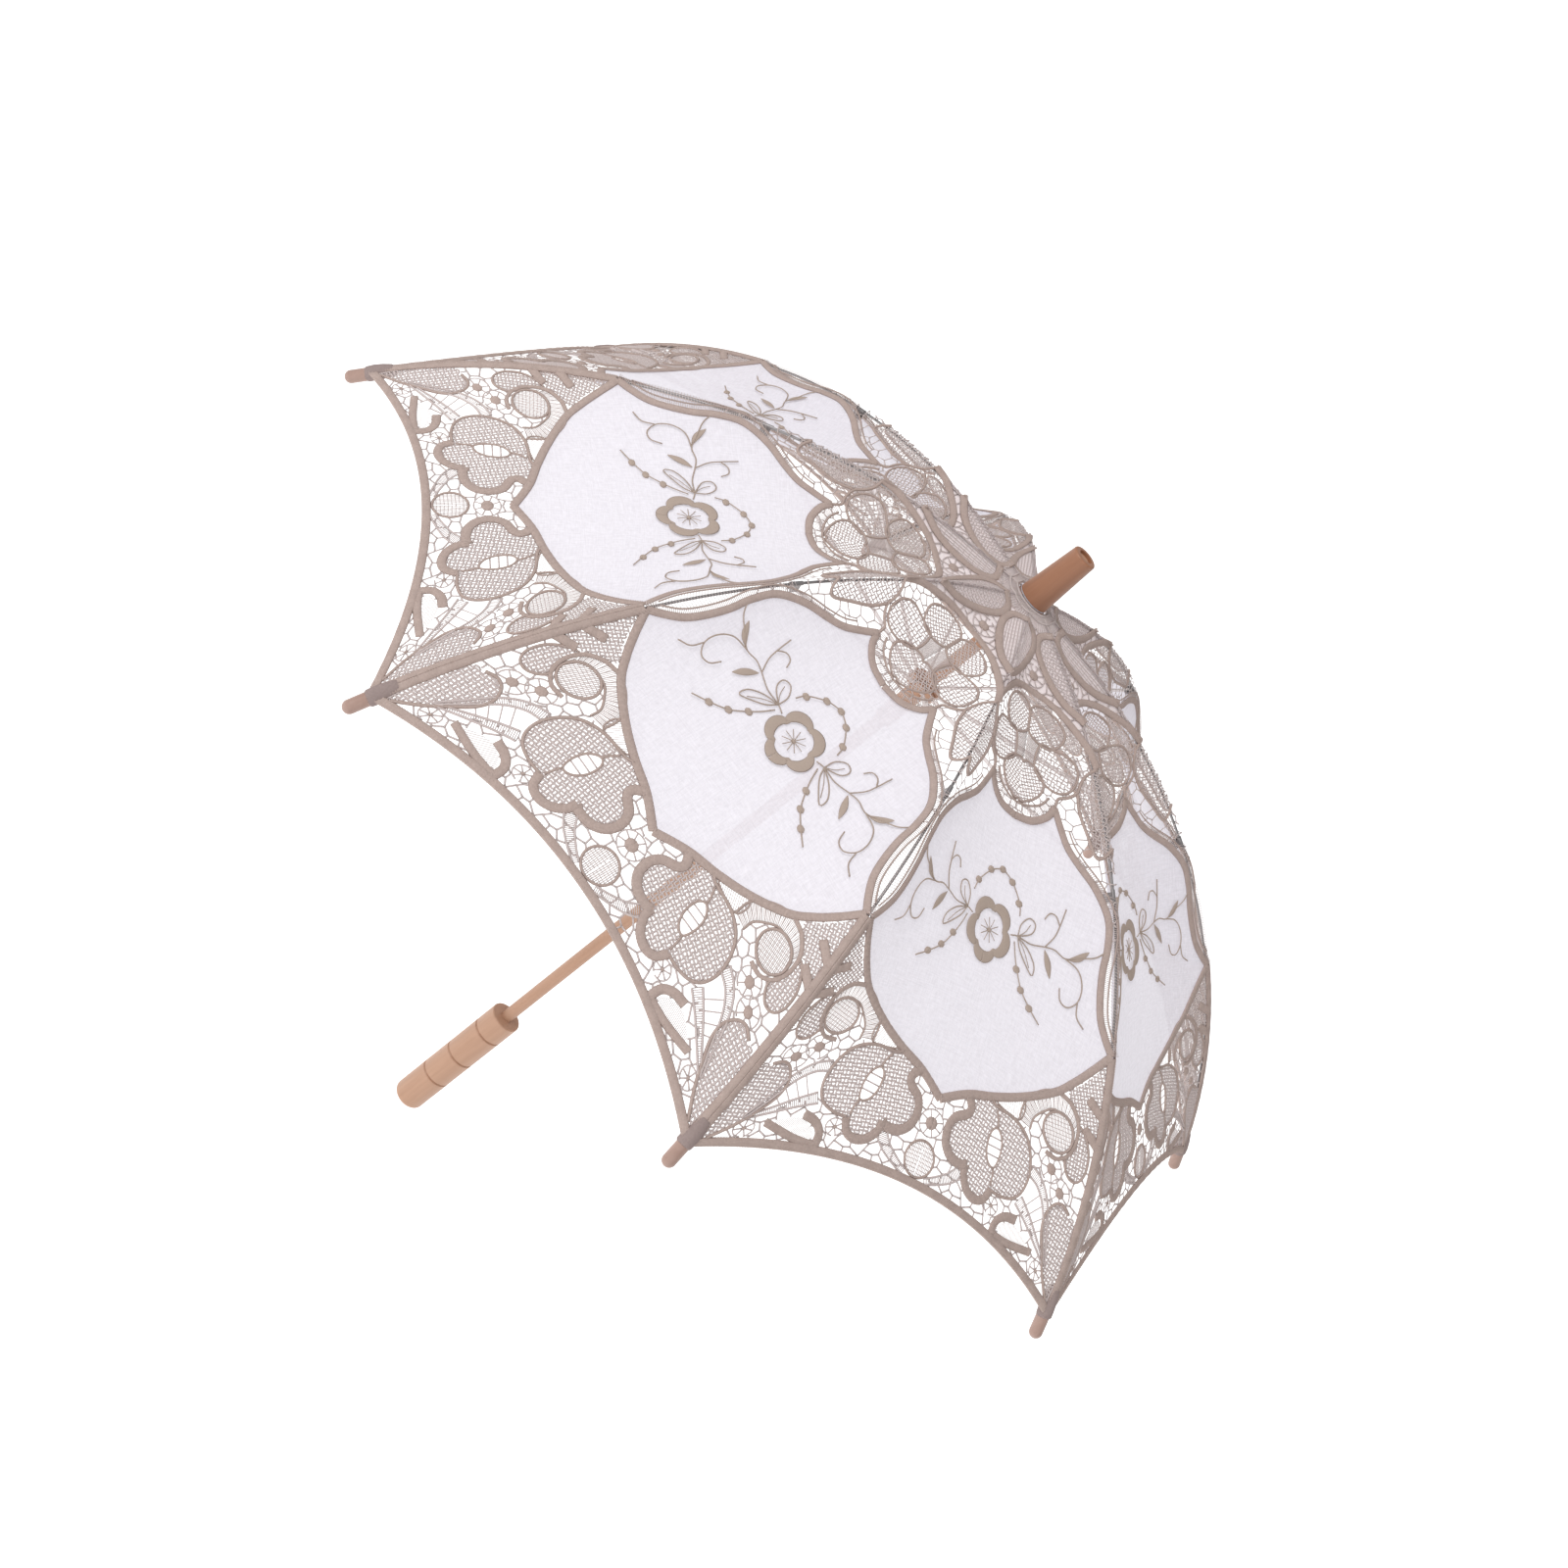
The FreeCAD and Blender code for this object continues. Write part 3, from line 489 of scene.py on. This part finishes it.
def make_braids():
    """The tapes, cords and woven dots: hem, seam, shield, medallion, petals, pansies and snails."""
    tapes = Strands()
    hem = np.linspace((0, HEM), (float(half_width(HEM)) - 1, HEM), 90)
    braid(tapes, hem, 5.6, 1.3, ready=True)
    braid(tapes, seam_line(304, 462, 2.6), 5.0, 1.2, 1.5, ready=True)
    braid(tapes, PANEL_LOW, 5.6, 1.2, 1.9)
    braid(tapes, PANEL_SIDE, 4.8, 1.0)
    braid(tapes, LOBE_LOW, 5.2, 1.0)
    braid(tapes, LOBE_TOP, 5.0, 1.0)
    braid(tapes, PETAL, 5.4, 1.0)
    braid(tapes, PANSY_TOP, 6.4, 1.1, 1.9)
    braid(tapes, PANSY_FOOT, 5.8, 1.1, 1.9)
    braid(tapes, VEE_NEAR, 6.0, 1.1)
    braid(tapes, VEE_FAR, 5.2, 1.1)
    braid(tapes, SNAIL_TAPE, 2.8, 1.0, 1.4)
    for start, end in (((117, 341.5), (103.5, 337)), ((121, 359), (108.5, 355.5))):
        braid(tapes, np.array([start, end], float), 5.6, 1.2, 0.9, ready=True)
    for line in (LOBE_SIDE, RIB_LEAF, SEAM_LEAF, PANSY_BACK):
        cord(tapes, line, 2.2)
    for line in (SNAIL_OUTSIDE[:5], SNAIL_INSIDE[:5], [(0.4, 96), (0.4, 104), (0.4, 111.5)],
                 [(0, 171), (9, 169), (18, 163.5), (23, 155.5)]):
        cord(tapes, line, 1.7)
    for cell in (UPPER_CELL, SIDE_CELL, LOWER_CELL):
        edge = smooth(cell, 1.6, True)
        for piece in clipped([edge], LOBE_HALF):
            cord(tapes, piece, 1.8, ready=True)
    for centre, radius in DOTS:
        tapes.disc(centre, radius, 0.8)
    cord(tapes, PANSY_EYE, 1.6, closed=True)
    cord(tapes, [(45, 388), (48.5, 394), (50, 399)], 1.6)
    cord(tapes, [(57, 424), (58.5, 430), (59.5, 436)], 1.6)
    cord(tapes, NET_CRESCENT, 1.8, closed=True)
    cord(tapes, CORNER_CELL, 1.2, closed=True)
    cord(tapes, ellipse(*SNAIL), 2.0, closed=True, ready=True)
    cord(tapes, ellipse(*DISC, end=math.pi), 1.8, ready=True)
    cord(tapes, offset(smooth(PANEL_SIDE, 2.0), 5.0)[4:-8], 1.1, ready=True)
    return tapes


def make_petal(lined):
    """The filling of a petal: close lines or a net."""
    net = Strands()
    if lined:
        fill_lines(net, PETAL_CELL, 1.7, 1.15, 0.32)
        fill_lines(net, PETAL_CELL, 4.5, 1.15 + math.pi / 2, 0.22)
    else:
        fill_net(net, PETAL_CELL, 2.8, 0.36, 1.1)
    return net


def make_threads():
    """The nets, weaves, ladders, spider dots and web bars."""
    net = Strands()
    eye, snail, disc = smooth(PANSY_EYE, closed=True), ellipse(*SNAIL), ellipse(*DISC)
    crescent, fan = smooth(NET_CRESCENT, closed=True), smooth(VEE_FAN, closed=True)
    corner, corner_net = smooth(CORNER_CELL, closed=True), smooth(CORNER_NET, closed=True)
    fill_net(net, PANSY, 3.2, 0.64, 0.9, holes=[eye])
    fill_net(net, LEAF_CELL, 3.1, 0.64, 0.7)
    fill_net(net, crescent, 2.9, 0.6, 0.5)
    fill_net(net, corner_net, 2.8, 0.56, 0.2)
    fill_weave(net, snail, 1.15, 1.2)
    fill_weave(net, disc, 1.2, 1.6)
    fill_lines(net, fan, 1.1, 1.2, 0.2)
    fill_lines(net, corner, 1.5, 1.0, 0.2, 0.2)
    for shift in (-6, 0, 6):
        bar = np.linspace((44, 413 + shift), (60, 410 + shift), 16)
        for piece in clipped([bar], eye):
            thread(net, piece, 0.5)
    infill(net, SNAIL_OUTSIDE, SNAIL_INSIDE)
    ladder(net, TAPE_LOW, 8.0, 1.1, 1.5, 0.3, taper=0.2)
    ladder(net, TAPE_HIGH, 7.5, 1.1, 1.5, 0.3, taper=0.2)
    ladder(net, COMMA, 8.0, 1.1, 1.4, 0.3, taper=0.5)
    for share in (0.2, 0.4, 0.6, 0.8):
        bar = np.array([np.array(TAPE_HIGH[1]) * (1 - share) + np.array(TAPE_HIGH[4]) * share,
                        np.array(TAPE_LOW[0]) * (1 - share) + np.array(TAPE_LOW[2]) * share])
        thread(net, bar, 0.45)

    rungs(net, PANEL_SIDE[:-3], 5.2, 1.25, 0.24)
    rungs(net, [(28, 158), (23, 167), (13.5, 174.5), (0, 177.5)], 5.5, 1.3, 0.24)
    fill_net(net, smooth(UPPER_CELL, closed=True), 2.8, 0.46, 0.2)
    fill_net(net, smooth(SIDE_CELL, closed=True), 3.4, 0.5, 1.0)
    fill_lines(net, closed_polygon(CORE_CELL), 1.1, 0.1, 0.4)
    fill_net(net, smooth(LOWER_CELL, closed=True), 2.8, 0.46, 0.4)
    fill_net(net, RIB_LEAF_CELL, 3.0, 0.46, 0.9)
    cells = [smooth(cell, closed=True) for cell in (UPPER_CELL, SIDE_CELL, LOWER_CELL)]
    honeycomb(net, LOBE_CELL, 7.5, cells + [closed_polygon(CORE_CELL)], 0.45, 5)
    make_crown_ring(net)
    snail_arc = closed_polygon(SNAIL_OUTSIDE, SNAIL_INSIDE[::-1])
    tapes = closed_polygon(TAPE_HIGH, TAPE_LOW[::-1])
    make_web(net, [PANSY, LEAF_CELL, crescent, corner_net, snail, disc, fan, corner, snail_arc, tapes])
    return net


def make_crown_ring(net):
    """The fan of threads round the ferrule, edged with small scallops."""
    for share in np.linspace(0.06, 0.94, 7):
        down = np.linspace(13.2, 28.5, 6)
        thread(net, np.stack([half_width(down) * share, down], 1), 0.36, 3.0)
    share = np.linspace(0, 1, 15)
    for start, bulge in ((15.0, 0.0), (21.0, 0.0), (28.0, 2.0)):
        down = start + bulge * np.abs(np.sin(2 * math.pi * share))
        cord(net, np.stack([half_width(down) * share, down], 1), 1.5, ready=True)


def make_web(net, filled):
    """Spider dots and irregular web bars in every part that is still open."""
    dots = []
    for centre, radius in DOTS:
        reach = radius + 5.0
        spider(net, centre, radius, reach, 8 if centre[0] == 0 else 7)
        dots.append(ellipse(centre, (reach, reach)))
    low = closed_polygon(PANEL_LOW, [(105.5, 303), (118, 335), (135, 390), (150, 464)],
                         [(150, 464), (75, 464), (0, 464)])
    honeycomb(net, low, 12.0, filled + dots + [PANEL], 0.6, 3)
    beside = closed_polygon(PANEL_SIDE[5:], LOBE_SIDE, [(47, 124), (66, 174), (86, 236)])
    honeycomb(net, beside, 11.0, [RIB_LEAF_CELL, PANEL, LOBE_CELL], 0.42, 7)
    between = closed_polygon(LOBE_TOP, [(46, 122), (36, 93)], PETAL[::-1], [(0, 34), (0, 80)])
    honeycomb(net, between, 10.0, dots + [PETAL_CELL, LOBE_CELL], 0.55, 9)
    for start in np.arange(206, 300, 1.9):
        inner = float(np.interp(start, [p[1] for p in PANEL_SIDE[::-1]], [p[0] for p in PANEL_SIDE[::-1]]))
        thread(net, [(inner + 5, start), (float(half_width(start)) - 0.3, start)], 0.16, 6.0)


# ---------------------------------------------------------------- embroidery

def satin(stitches, points, width, height=0.25):
    """A filled leaf of close stitches, widest in the middle."""
    line = smooth(points, 1.0)
    share = np.sin(np.linspace(0.12, math.pi - 0.12, len(line)))
    lay_satin(stitches, line, width / 2 * share, height * share)


def lay_satin(stitches, line, half, top):
    """A low flat-topped band of stitches."""
    zero = np.zeros_like(half)
    stitches.lay(line, np.stack([np.stack([-half, zero], 1), np.stack([-half * 0.75, top], 1),
                                 np.stack([half * 0.75, top], 1), np.stack([half, zero], 1),
                                 np.stack([zero, zero - 0.2], 1)], 1), 0.25)


def stem(stitches, points, width=0.95):
    """A line of stem stitch."""
    cord(stitches, points, width, lift=0.45)


def make_embroidery():
    """Half of the flower, its arc of beads, a sprig and a hanging string of beads."""
    stitches = Strands()
    turn = np.linspace(0, math.pi, 60)
    lobe = np.abs(np.cos(2.5 * turn))
    middle = (0, 274.5)
    outer, inner = 0.66 + 0.34 * lobe ** 0.55, 0.60 + 0.13 * lobe ** 0.5
    share = (outer + inner) / 2
    line = np.stack([middle[0] + 18.0 * share * np.sin(turn), middle[1] + 24.0 * share * np.cos(turn)], 1)
    half = 12.0 * (outer - inner) + 0.5
    zero = np.zeros_like(half)
    lay_satin(stitches, line, half, zero + 0.25)
    stitches.disc(middle, 1.6, 0.9)
    for k in range(5):
        t = math.pi * (k + 0.5) / 5
        tip = (middle[0] + 7.5 * math.sin(t), middle[1] + 9.5 * math.cos(t))
        stem(stitches, [middle, ((middle[0] + tip[0]) / 2, (middle[1] + tip[1]) / 2), tip], 0.6)
    stem(stitches, [(0, 226), (9, 231), (18, 243), (20.5, 252)])
    stem(stitches, [(21, 272), (24, 281), (28, 290), (35, 302), (44.5, 310.5), (54, 317)])
    for bead in ((0, 226), (9.5, 231), (18, 243.5), (28, 290), (35, 302), (44.5, 310.5)):
        stitches.disc(bead, 2.7, 0.7)
    fork = (22.5, 267)
    stem(stitches, [fork, (23, 257), (28, 249.5), (33, 252), (31.5, 260), fork])
    stem(stitches, [fork, (26, 275), (33, 283), (39.5, 288), (39, 280), (32, 272), fork])
    stem(stitches, [fork, (27, 261), (29.5, 254)], 0.6)
    stem(stitches, [fork, (30, 275), (36, 284)], 0.6)
    stem(stitches, [(17, 269), fork, (33, 267), (43, 263), (50, 261), (58, 262.5), (66, 257),
                    (75, 250.5), (80, 243)])
    stem(stitches, [(43, 263), (47.5, 252), (49, 242), (50, 229)])
    stem(stitches, [(49, 243), (45, 237.5), (40.5, 238), (38, 244)])
    stem(stitches, [(58, 262.5), (68, 265), (73.5, 274), (74, 285), (69, 293), (63, 292), (60, 284)])
    stem(stitches, [(74, 286), (76.5, 295), (83, 299.5)])
    satin(stitches, [(60, 262), (66, 257), (71, 249)], 4.4)
    satin(stitches, [(43.5, 265), (48, 273), (52, 282)], 4.4)
    return stitches


# ---------------------------------------------------------------- cotton

def wrinkle(across, down, gore):
    """Shallow creases that run towards the ribs, in millimetres."""
    chance = random.Random(gore)
    creases, steepness = 7, 0.0022
    height = 0.0
    for _ in range(creases):
        turn = chance.uniform(-1.1, 1.1)
        pitch = chance.uniform(26, 80)
        phase = chance.uniform(0, 2 * math.pi)
        travel = across * math.cos(turn) + down * math.sin(turn) * 0.6
        height = height + (np.sin(2 * math.pi * travel / pitch + phase) - 1) * pitch * steepness
    return height


def make_cotton(gore, side):
    """The half shield as rows of points; side is 1 or -1, for which half of the gore it is."""
    upper = smooth(PANEL_SIDE, 1.0)[::-1]
    lower = smooth(PANEL_LOW, 1.0)[::-1]
    edge = np.vstack([upper, lower[1:]])
    lobe = smooth(LOBE_LOW, 1.0)
    down = np.linspace(edge[0, 1], edge[-1, 1] - 0.5, 100)
    outermost = np.interp(down, edge[:, 1], edge[:, 0])
    innermost = np.interp(down, lobe[:, 1], lobe[:, 0], right=0.0)
    across, downs = cloth_grid(down, innermost, outermost, 26)
    fade = np.clip(outermost[:, None] - across, 0, 10) / 10
    lift = wrinkle(across * side, downs, gore) * fade - CLOTH_DEPTH - 0.1
    return cloth(across, downs, lift, side)


def make_lining(side):
    """The plain cloth under the crown, inside the ring of medallions."""
    edge = smooth(LOBE_TOP, 1.0)
    down = np.linspace(RING_RADIUS + 1, edge[-1, 1] - 0.5, 40)
    innermost = np.interp(down, edge[:, 1], edge[:, 0], left=0.0)
    across, downs = cloth_grid(down, innermost, half_width(down), 12)
    return cloth(across, downs, np.full(across.shape, -CLOTH_DEPTH - 0.9), side)


def cloth_grid(down, innermost, outermost, columns):
    """Rows of pattern points between an inner and an outer edge."""
    share = np.linspace(0, 1, columns)
    across = innermost[:, None] + (outermost - innermost)[:, None] * share
    return across, np.broadcast_to(down[:, None], across.shape)


def cloth(across, downs, lift, side):
    """A sheet's points, faces and flat pattern coordinates."""
    rows, columns = across.shape
    points = on_gore(across, downs) + gore_normal(across, downs) * lift[..., None]
    faces = [[i * columns + j, (i + 1) * columns + j, (i + 1) * columns + j + 1, i * columns + j + 1]
             for i in range(rows - 1) for j in range(columns - 1)]
    flat = np.stack([across * side, downs], -1).reshape(-1, 2)
    return points.reshape(-1, 3) * MM, faces, flat


# ---------------------------------------------------------------- materials

def colour(red, green, blue):
    """An sRGB colour from 0 to 255 as linear values with alpha."""
    def linear(value):
        value /= 255
        return value / 12.92 if value <= 0.04045 else ((value + 0.055) / 1.055) ** 2.4
    return linear(red), linear(green), linear(blue), 1.0


def new_material(name, base, roughness, **inputs):
    """A material with its node tree and shader; inputs are more of the shader's own sockets."""
    material = bpy.data.materials.new(name)
    material.use_nodes = True
    shader = material.node_tree.nodes["Principled BSDF"]
    shader.inputs["Base Color"].default_value = base
    shader.inputs["Roughness"].default_value = roughness
    for key, value in inputs.items():
        shader.inputs[key.replace("_", " ")].default_value = value
    return material, material.node_tree, shader


def add_node(tree, kind, **settings):
    """A node whose settings are its properties or its input sockets."""
    node = tree.nodes.new(kind)
    for key, value in settings.items():
        if hasattr(node, key):
            setattr(node, key, value)
        else:
            node.inputs[key.replace("_", " ")].default_value = value
    return node


def see_through(tree, shader, glow, tint, open_weave=0.0):
    """Mixes in light that passes through the cloth, and holes too small to draw."""
    result = shader.outputs["BSDF"]
    for kind, share, shade in (("ShaderNodeBsdfTranslucent", glow, tint),
                               ("ShaderNodeBsdfTransparent", open_weave, (1, 1, 1, 1))):
        passing = add_node(tree, kind, Color=shade)
        mix = add_node(tree, "ShaderNodeMixShader", Fac=share)
        tree.links.new(result, mix.inputs[1])
        tree.links.new(passing.outputs["BSDF"], mix.inputs[2])
        result = mix.outputs["Shader"]
    tree.links.new(result, tree.nodes["Material Output"].inputs["Surface"])


def tinted_noise(tree, shader, vector, scale, first, second, detail=3.0):
    """Varies the base colour between two tints."""
    noise = add_node(tree, "ShaderNodeTexNoise", Scale=scale, Detail=detail)
    ramp = add_node(tree, "ShaderNodeMix", data_type="RGBA")
    tree.links.new(vector, noise.inputs["Vector"])
    tree.links.new(noise.outputs["Fac"], ramp.inputs["Factor"])
    tints = [socket for socket in ramp.inputs if socket.type == "RGBA"]
    for socket, tint in zip(tints, (first, second)):
        socket.default_value = tint
    result = [socket for socket in ramp.outputs if socket.type == "RGBA"][0]
    tree.links.new(result, shader.inputs["Base Color"])
    return noise


def lace_material(name, light, dark):
    """Matt cotton yarn with a fine mottle, which lets a little light through."""
    material, tree, shader = new_material(name, light, 0.9)
    shader.inputs["Specular IOR Level"].default_value = 0.15
    place = add_node(tree, "ShaderNodeTexCoord")
    tinted_noise(tree, shader, place.outputs["Object"], 900.0, dark, light)
    see_through(tree, shader, 0.18, light)
    return material


def cotton_material(name, light, dark, open_weave):
    """A slubby plain weave drawn in the cloth's flat millimetres."""
    material, tree, shader = new_material(name, light, 0.95)
    shader.inputs["Specular IOR Level"].default_value = 0.1
    flat = add_node(tree, "ShaderNodeUVMap", uv_map="flat")
    patches = tinted_noise(tree, shader, flat.outputs["UV"], 0.35, dark, light, 6.0)
    heights = []
    for stretch in ((1.1, 0.09, 1), (0.09, 1.1, 1)):
        scaled = add_node(tree, "ShaderNodeVectorMath", operation="MULTIPLY")
        scaled.inputs[1].default_value = stretch
        slub = add_node(tree, "ShaderNodeTexNoise", Scale=1.0, Detail=2.0)
        tree.links.new(flat.outputs["UV"], scaled.inputs[0])
        tree.links.new(scaled.outputs["Vector"], slub.inputs["Vector"])
        heights.append(slub)
    total = add_node(tree, "ShaderNodeMath", operation="ADD")
    tree.links.new(heights[0].outputs["Fac"], total.inputs[0])
    tree.links.new(heights[1].outputs["Fac"], total.inputs[1])
    bump = add_node(tree, "ShaderNodeBump", Strength=0.5, Distance=0.0006)
    tree.links.new(total.outputs["Value"], bump.inputs["Height"])
    tree.links.new(bump.outputs["Normal"], shader.inputs["Normal"])
    slubs = add_node(tree, "ShaderNodeMapRange")
    for key, value in (("From Min", 0.75), ("From Max", 1.25), ("To Min", -0.25), ("To Max", 0.25)):
        slubs.inputs[key].default_value = value
    tree.links.new(total.outputs["Value"], slubs.inputs["Value"])
    shade = add_node(tree, "ShaderNodeMath", operation="ADD", use_clamp=True)
    tree.links.new(patches.outputs["Fac"], shade.inputs[0])
    tree.links.new(slubs.outputs["Result"], shade.inputs[1])
    tree.links.new(shade.outputs["Value"], patches.outputs["Fac"].links[0].to_node.inputs["Factor"])
    see_through(tree, shader, 0.35, light, open_weave)
    return material


def wood_material(name, light, dark, stretch):
    """Pale straight-grained wood; stretch is how fast the grain changes along x, y and z."""
    material, tree, shader = new_material(name, light, 0.42)
    place = add_node(tree, "ShaderNodeTexCoord")
    scaled = add_node(tree, "ShaderNodeVectorMath", operation="MULTIPLY")
    scaled.inputs[1].default_value = stretch
    tree.links.new(place.outputs["Object"], scaled.inputs[0])
    noise = tinted_noise(tree, shader, scaled.outputs["Vector"], 1.0, light, dark, 5.0)
    bump = add_node(tree, "ShaderNodeBump", Strength=0.15, Distance=0.0003)
    tree.links.new(noise.outputs["Fac"], bump.inputs["Height"])
    tree.links.new(bump.outputs["Normal"], shader.inputs["Normal"])
    return material


MATERIALS = {
    "lace": lace_material("lace_tape", colour(206, 188, 180), colour(166, 147, 139)),
    # The threads are the same cotton as the tapes, painted lighter: painted backlight, for thin threads
    # lit through from behind.
    "threads": lace_material("lace_thread_painted_backlight", colour(222, 210, 207), colour(200, 187, 184)),
    "stitches": lace_material("embroidery_silk", colour(192, 176, 164), colour(180, 163, 151)),
    "pocket": lace_material("pocket_cloth", colour(172, 155, 151), colour(146, 130, 127)),
    "cotton": cotton_material("cotton", colour(232, 229, 236), colour(201, 197, 203), 0.06),
    "lining": cotton_material("lining_cloth", colour(234, 224, 224), colour(218, 208, 208), 0.0),
    "handle": wood_material("handle_wood", colour(193, 153, 127), colour(170, 130, 104), (260, 260, 22)),
    "ferrule": wood_material("ferrule_wood", colour(164, 115, 86), colour(138, 93, 67), (330, 330, 20)),
    "tips": wood_material("tip_wood", colour(172, 145, 134), colour(150, 120, 108), (300, 300, 60)),
    "steel": new_material("rib_steel", colour(150, 146, 146), 0.4, Metallic=1.0)[0],
    # The stretchers' near-white colour is a painted reflection: bright steel mirroring the white
    # surroundings, painted into a mostly matt colour.
    "struts": new_material("strut_steel_painted_reflection", colour(226, 220, 218), 0.45, Metallic=0.2)[0],
}


# ---------------------------------------------------------------- pieces

def mesh_object(name, points, faces, material, flat=None):
    """A smooth-shaded object; flat is its cloth's pattern, kept as a UV map."""
    mesh = bpy.data.meshes.new(name)
    mesh.from_pydata([tuple(p) for p in points], [], faces)
    if flat is not None:
        layer = mesh.uv_layers.new(name="flat")
        corner = np.zeros(len(mesh.loops), int)
        mesh.loops.foreach_get("vertex_index", corner)
        layer.data.foreach_set("uv", flat[corner].ravel())
    mesh.materials.append(material)
    mesh.polygons.foreach_set("use_smooth", [True] * len(mesh.polygons))
    mesh.update()
    made = bpy.data.objects.new(name, mesh)
    bpy.context.scene.collection.objects.link(made)
    return made


def placed(points, faces, mirrored, azimuth):
    """A half gore's mesh on its rib: mirrored for the right half, and turned about the shaft."""
    points = np.array(points)
    if mirrored:
        points[:, 1] *= -1
        faces = [face[::-1] for face in faces]
    c, s = math.cos(azimuth), math.sin(azimuth)
    turned = points.copy()
    turned[:, 0] = c * points[:, 0] - s * points[:, 1]
    turned[:, 1] = s * points[:, 0] + c * points[:, 1]
    return turned, faces


def fold(piece):
    """Bakes a piece's placement into its mesh."""
    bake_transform(piece)


def make_canopy():
    """Sixteen half gores, each of a cotton sheet, a crown lining, and the lace and stitches."""
    tapes = make_braids().arrays()
    threads = make_threads().arrays()
    petals = {lined: make_petal(lined).arrays() for lined in (True, False)}
    stitches = make_embroidery().arrays()
    for number in range(1, RIBS + 1):
        azimuth = (number - 1) * 2 * HALF_STEP
        for side in ("left", "right"):
            mirrored = side == "right"
            sign = -1 if mirrored else 1
            gore = (number - 2) % RIBS + 1 if mirrored else number
            sheets = []
            for kind, (points, faces, flat) in (("cotton", make_cotton(gore, sign)),
                                                ("lining", make_lining(sign))):
                points, faces = placed(points, faces, mirrored, azimuth)
                sheets.append(mesh_object(f"{kind}_{side}_{number}", points, faces, MATERIALS[kind], flat))
            cotton, lining = sheets
            pieces = [cotton]
            for kind, look, arrays in (("tape_lace", "lace", tapes), ("lace_net", "threads", threads),
                                       ("lace_petal", "threads", petals[number % 2 == 0]),
                                       ("embroidery", "stitches", stitches)):
                points, faces = placed(*arrays, mirrored, azimuth)
                pieces.append(mesh_object(f"{kind}_{side}_{number}", points, faces, MATERIALS[look]))
            for piece in pieces + [lining]:
                fold(piece)
            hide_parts(f"canopy_{side}_{number}")


# A pocket's rings: how far down the rib, and how thick.
POCKET_RINGS = ((446, 2.6), (449, 4.0), (455, 4.7), (461, 5.0), (465.5, 4.9), (466.5, 4.3))


def make_pockets():
    """The small cloth pockets that hold the rib ends at the canopy's corners."""
    for number in range(1, RIBS + 1):
        azimuth = (number - 1) * 2 * HALF_STEP
        rings = []
        for down, size in POCKET_RINGS:
            angle = down / RIDGE_RADIUS
            out = np.array([math.sin(angle), 0, math.cos(angle)])
            middle = np.array([0, 0, CENTRE_HEIGHT]) + out * (RIDGE_RADIUS - 3.0)
            turn = np.linspace(0, 2 * math.pi, 18, endpoint=False)
            crumple = size * (1 + 0.04 * np.sin(3 * turn + down))
            rings.append(middle + np.outer(np.cos(turn) * crumple, out)
                         + np.outer(np.sin(turn) * crumple * 1.05, [0, 1, 0]))
        pouch = Strands()
        pouch.add_rings(np.array(rings))
        points, faces = placed(*pouch.arrays(), False, azimuth)
        piece = mesh_object(f"pocket_{number}", points, faces, MATERIALS["pocket"])
        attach(piece, f"rib_{number}")


def paint_frame():
    """Gives the CAD nodes their finishes."""
    looks = {"handle": "handle", "shaft": "handle", "ferrule": "ferrule", "top_notch": "ferrule",
             "runner": "handle", "crown_washer": "cotton"}
    for name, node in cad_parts.items():
        if name.startswith("canopy"):
            continue
        look = looks.get(name, "steel")
        if name.startswith("rib_tip"):
            look = "tips"
        if name.startswith("stretcher"):
            look = "struts"
        node.data.materials.clear()
        node.data.materials.append(MATERIALS[look])


# ---------------------------------------------------------------- stage

FLOOR_HEIGHT = -0.9
FLOOR_SIZE = 300
# Each lamp: name, place, power in watts and size in metres.
LAMPS = (("key", (0.9, 2.3, 2.9), 62, 1.8), ("fill", (-2.2, 1.8, 1.4), 10, 2.5))
LAMP_TARGET = Vector((0, 0, 0.4))
LENS = 56.65
SENSOR = 36
CAMERA_PLACE = (-0.7014, 1.3096, 1.110)
CAMERA_RIGHT = Vector((-0.3796, -0.6085, 0.6968))
CAMERA_UP = Vector((0.8221, 0.1236, 0.5558))


def make_floor():
    """A wide pale floor, well below the parasol."""
    bpy.ops.mesh.primitive_plane_add(size=FLOOR_SIZE, location=(0, 0, FLOOR_HEIGHT))
    floor = bpy.context.object
    floor.name = "floor"
    material, _, shader = new_material("floor_white", (1, 1, 1, 1), 1.0)
    shader.inputs["Emission Color"].default_value = (1, 1, 1, 1)
    shader.inputs["Emission Strength"].default_value = 0.7
    floor.data.materials.append(material)


def make_lights():
    """A pale surrounding and two soft lamps."""
    world = bpy.data.worlds.new("studio")
    world.use_nodes = True
    background = world.node_tree.nodes["Background"]
    background.inputs["Color"].default_value = (1.0, 0.99, 0.99, 1)
    background.inputs["Strength"].default_value = 0.55
    bpy.context.scene.world = world
    for name, place, power, size in LAMPS:
        lamp = bpy.data.lights.new(name, "AREA")
        lamp.energy = power
        lamp.size = size
        light = bpy.data.objects.new(name, lamp)
        light.location = place
        aim = LAMP_TARGET - Vector(place)
        light.rotation_euler = aim.to_track_quat("-Z", "Y").to_euler()
        bpy.context.scene.collection.objects.link(light)


def make_camera():
    """The camera, from its place and from where its right and its top point."""
    bpy.context.scene.view_settings.view_transform = "Standard"
    lens = bpy.data.cameras.new("camera")
    lens.lens = LENS
    lens.sensor_width = SENSOR
    lens.sensor_fit = "HORIZONTAL"
    lens.clip_end = 500
    camera = bpy.data.objects.new("camera", lens)
    turn = Matrix((CAMERA_RIGHT, CAMERA_UP, CAMERA_RIGHT.cross(CAMERA_UP))).transposed()
    camera.matrix_world = Matrix.Translation(CAMERA_PLACE) @ turn.to_4x4()
    bpy.context.scene.collection.objects.link(camera)
    bpy.context.scene.camera = camera


make_canopy()
make_pockets()
paint_frame()
make_floor()
make_lights()
make_camera()
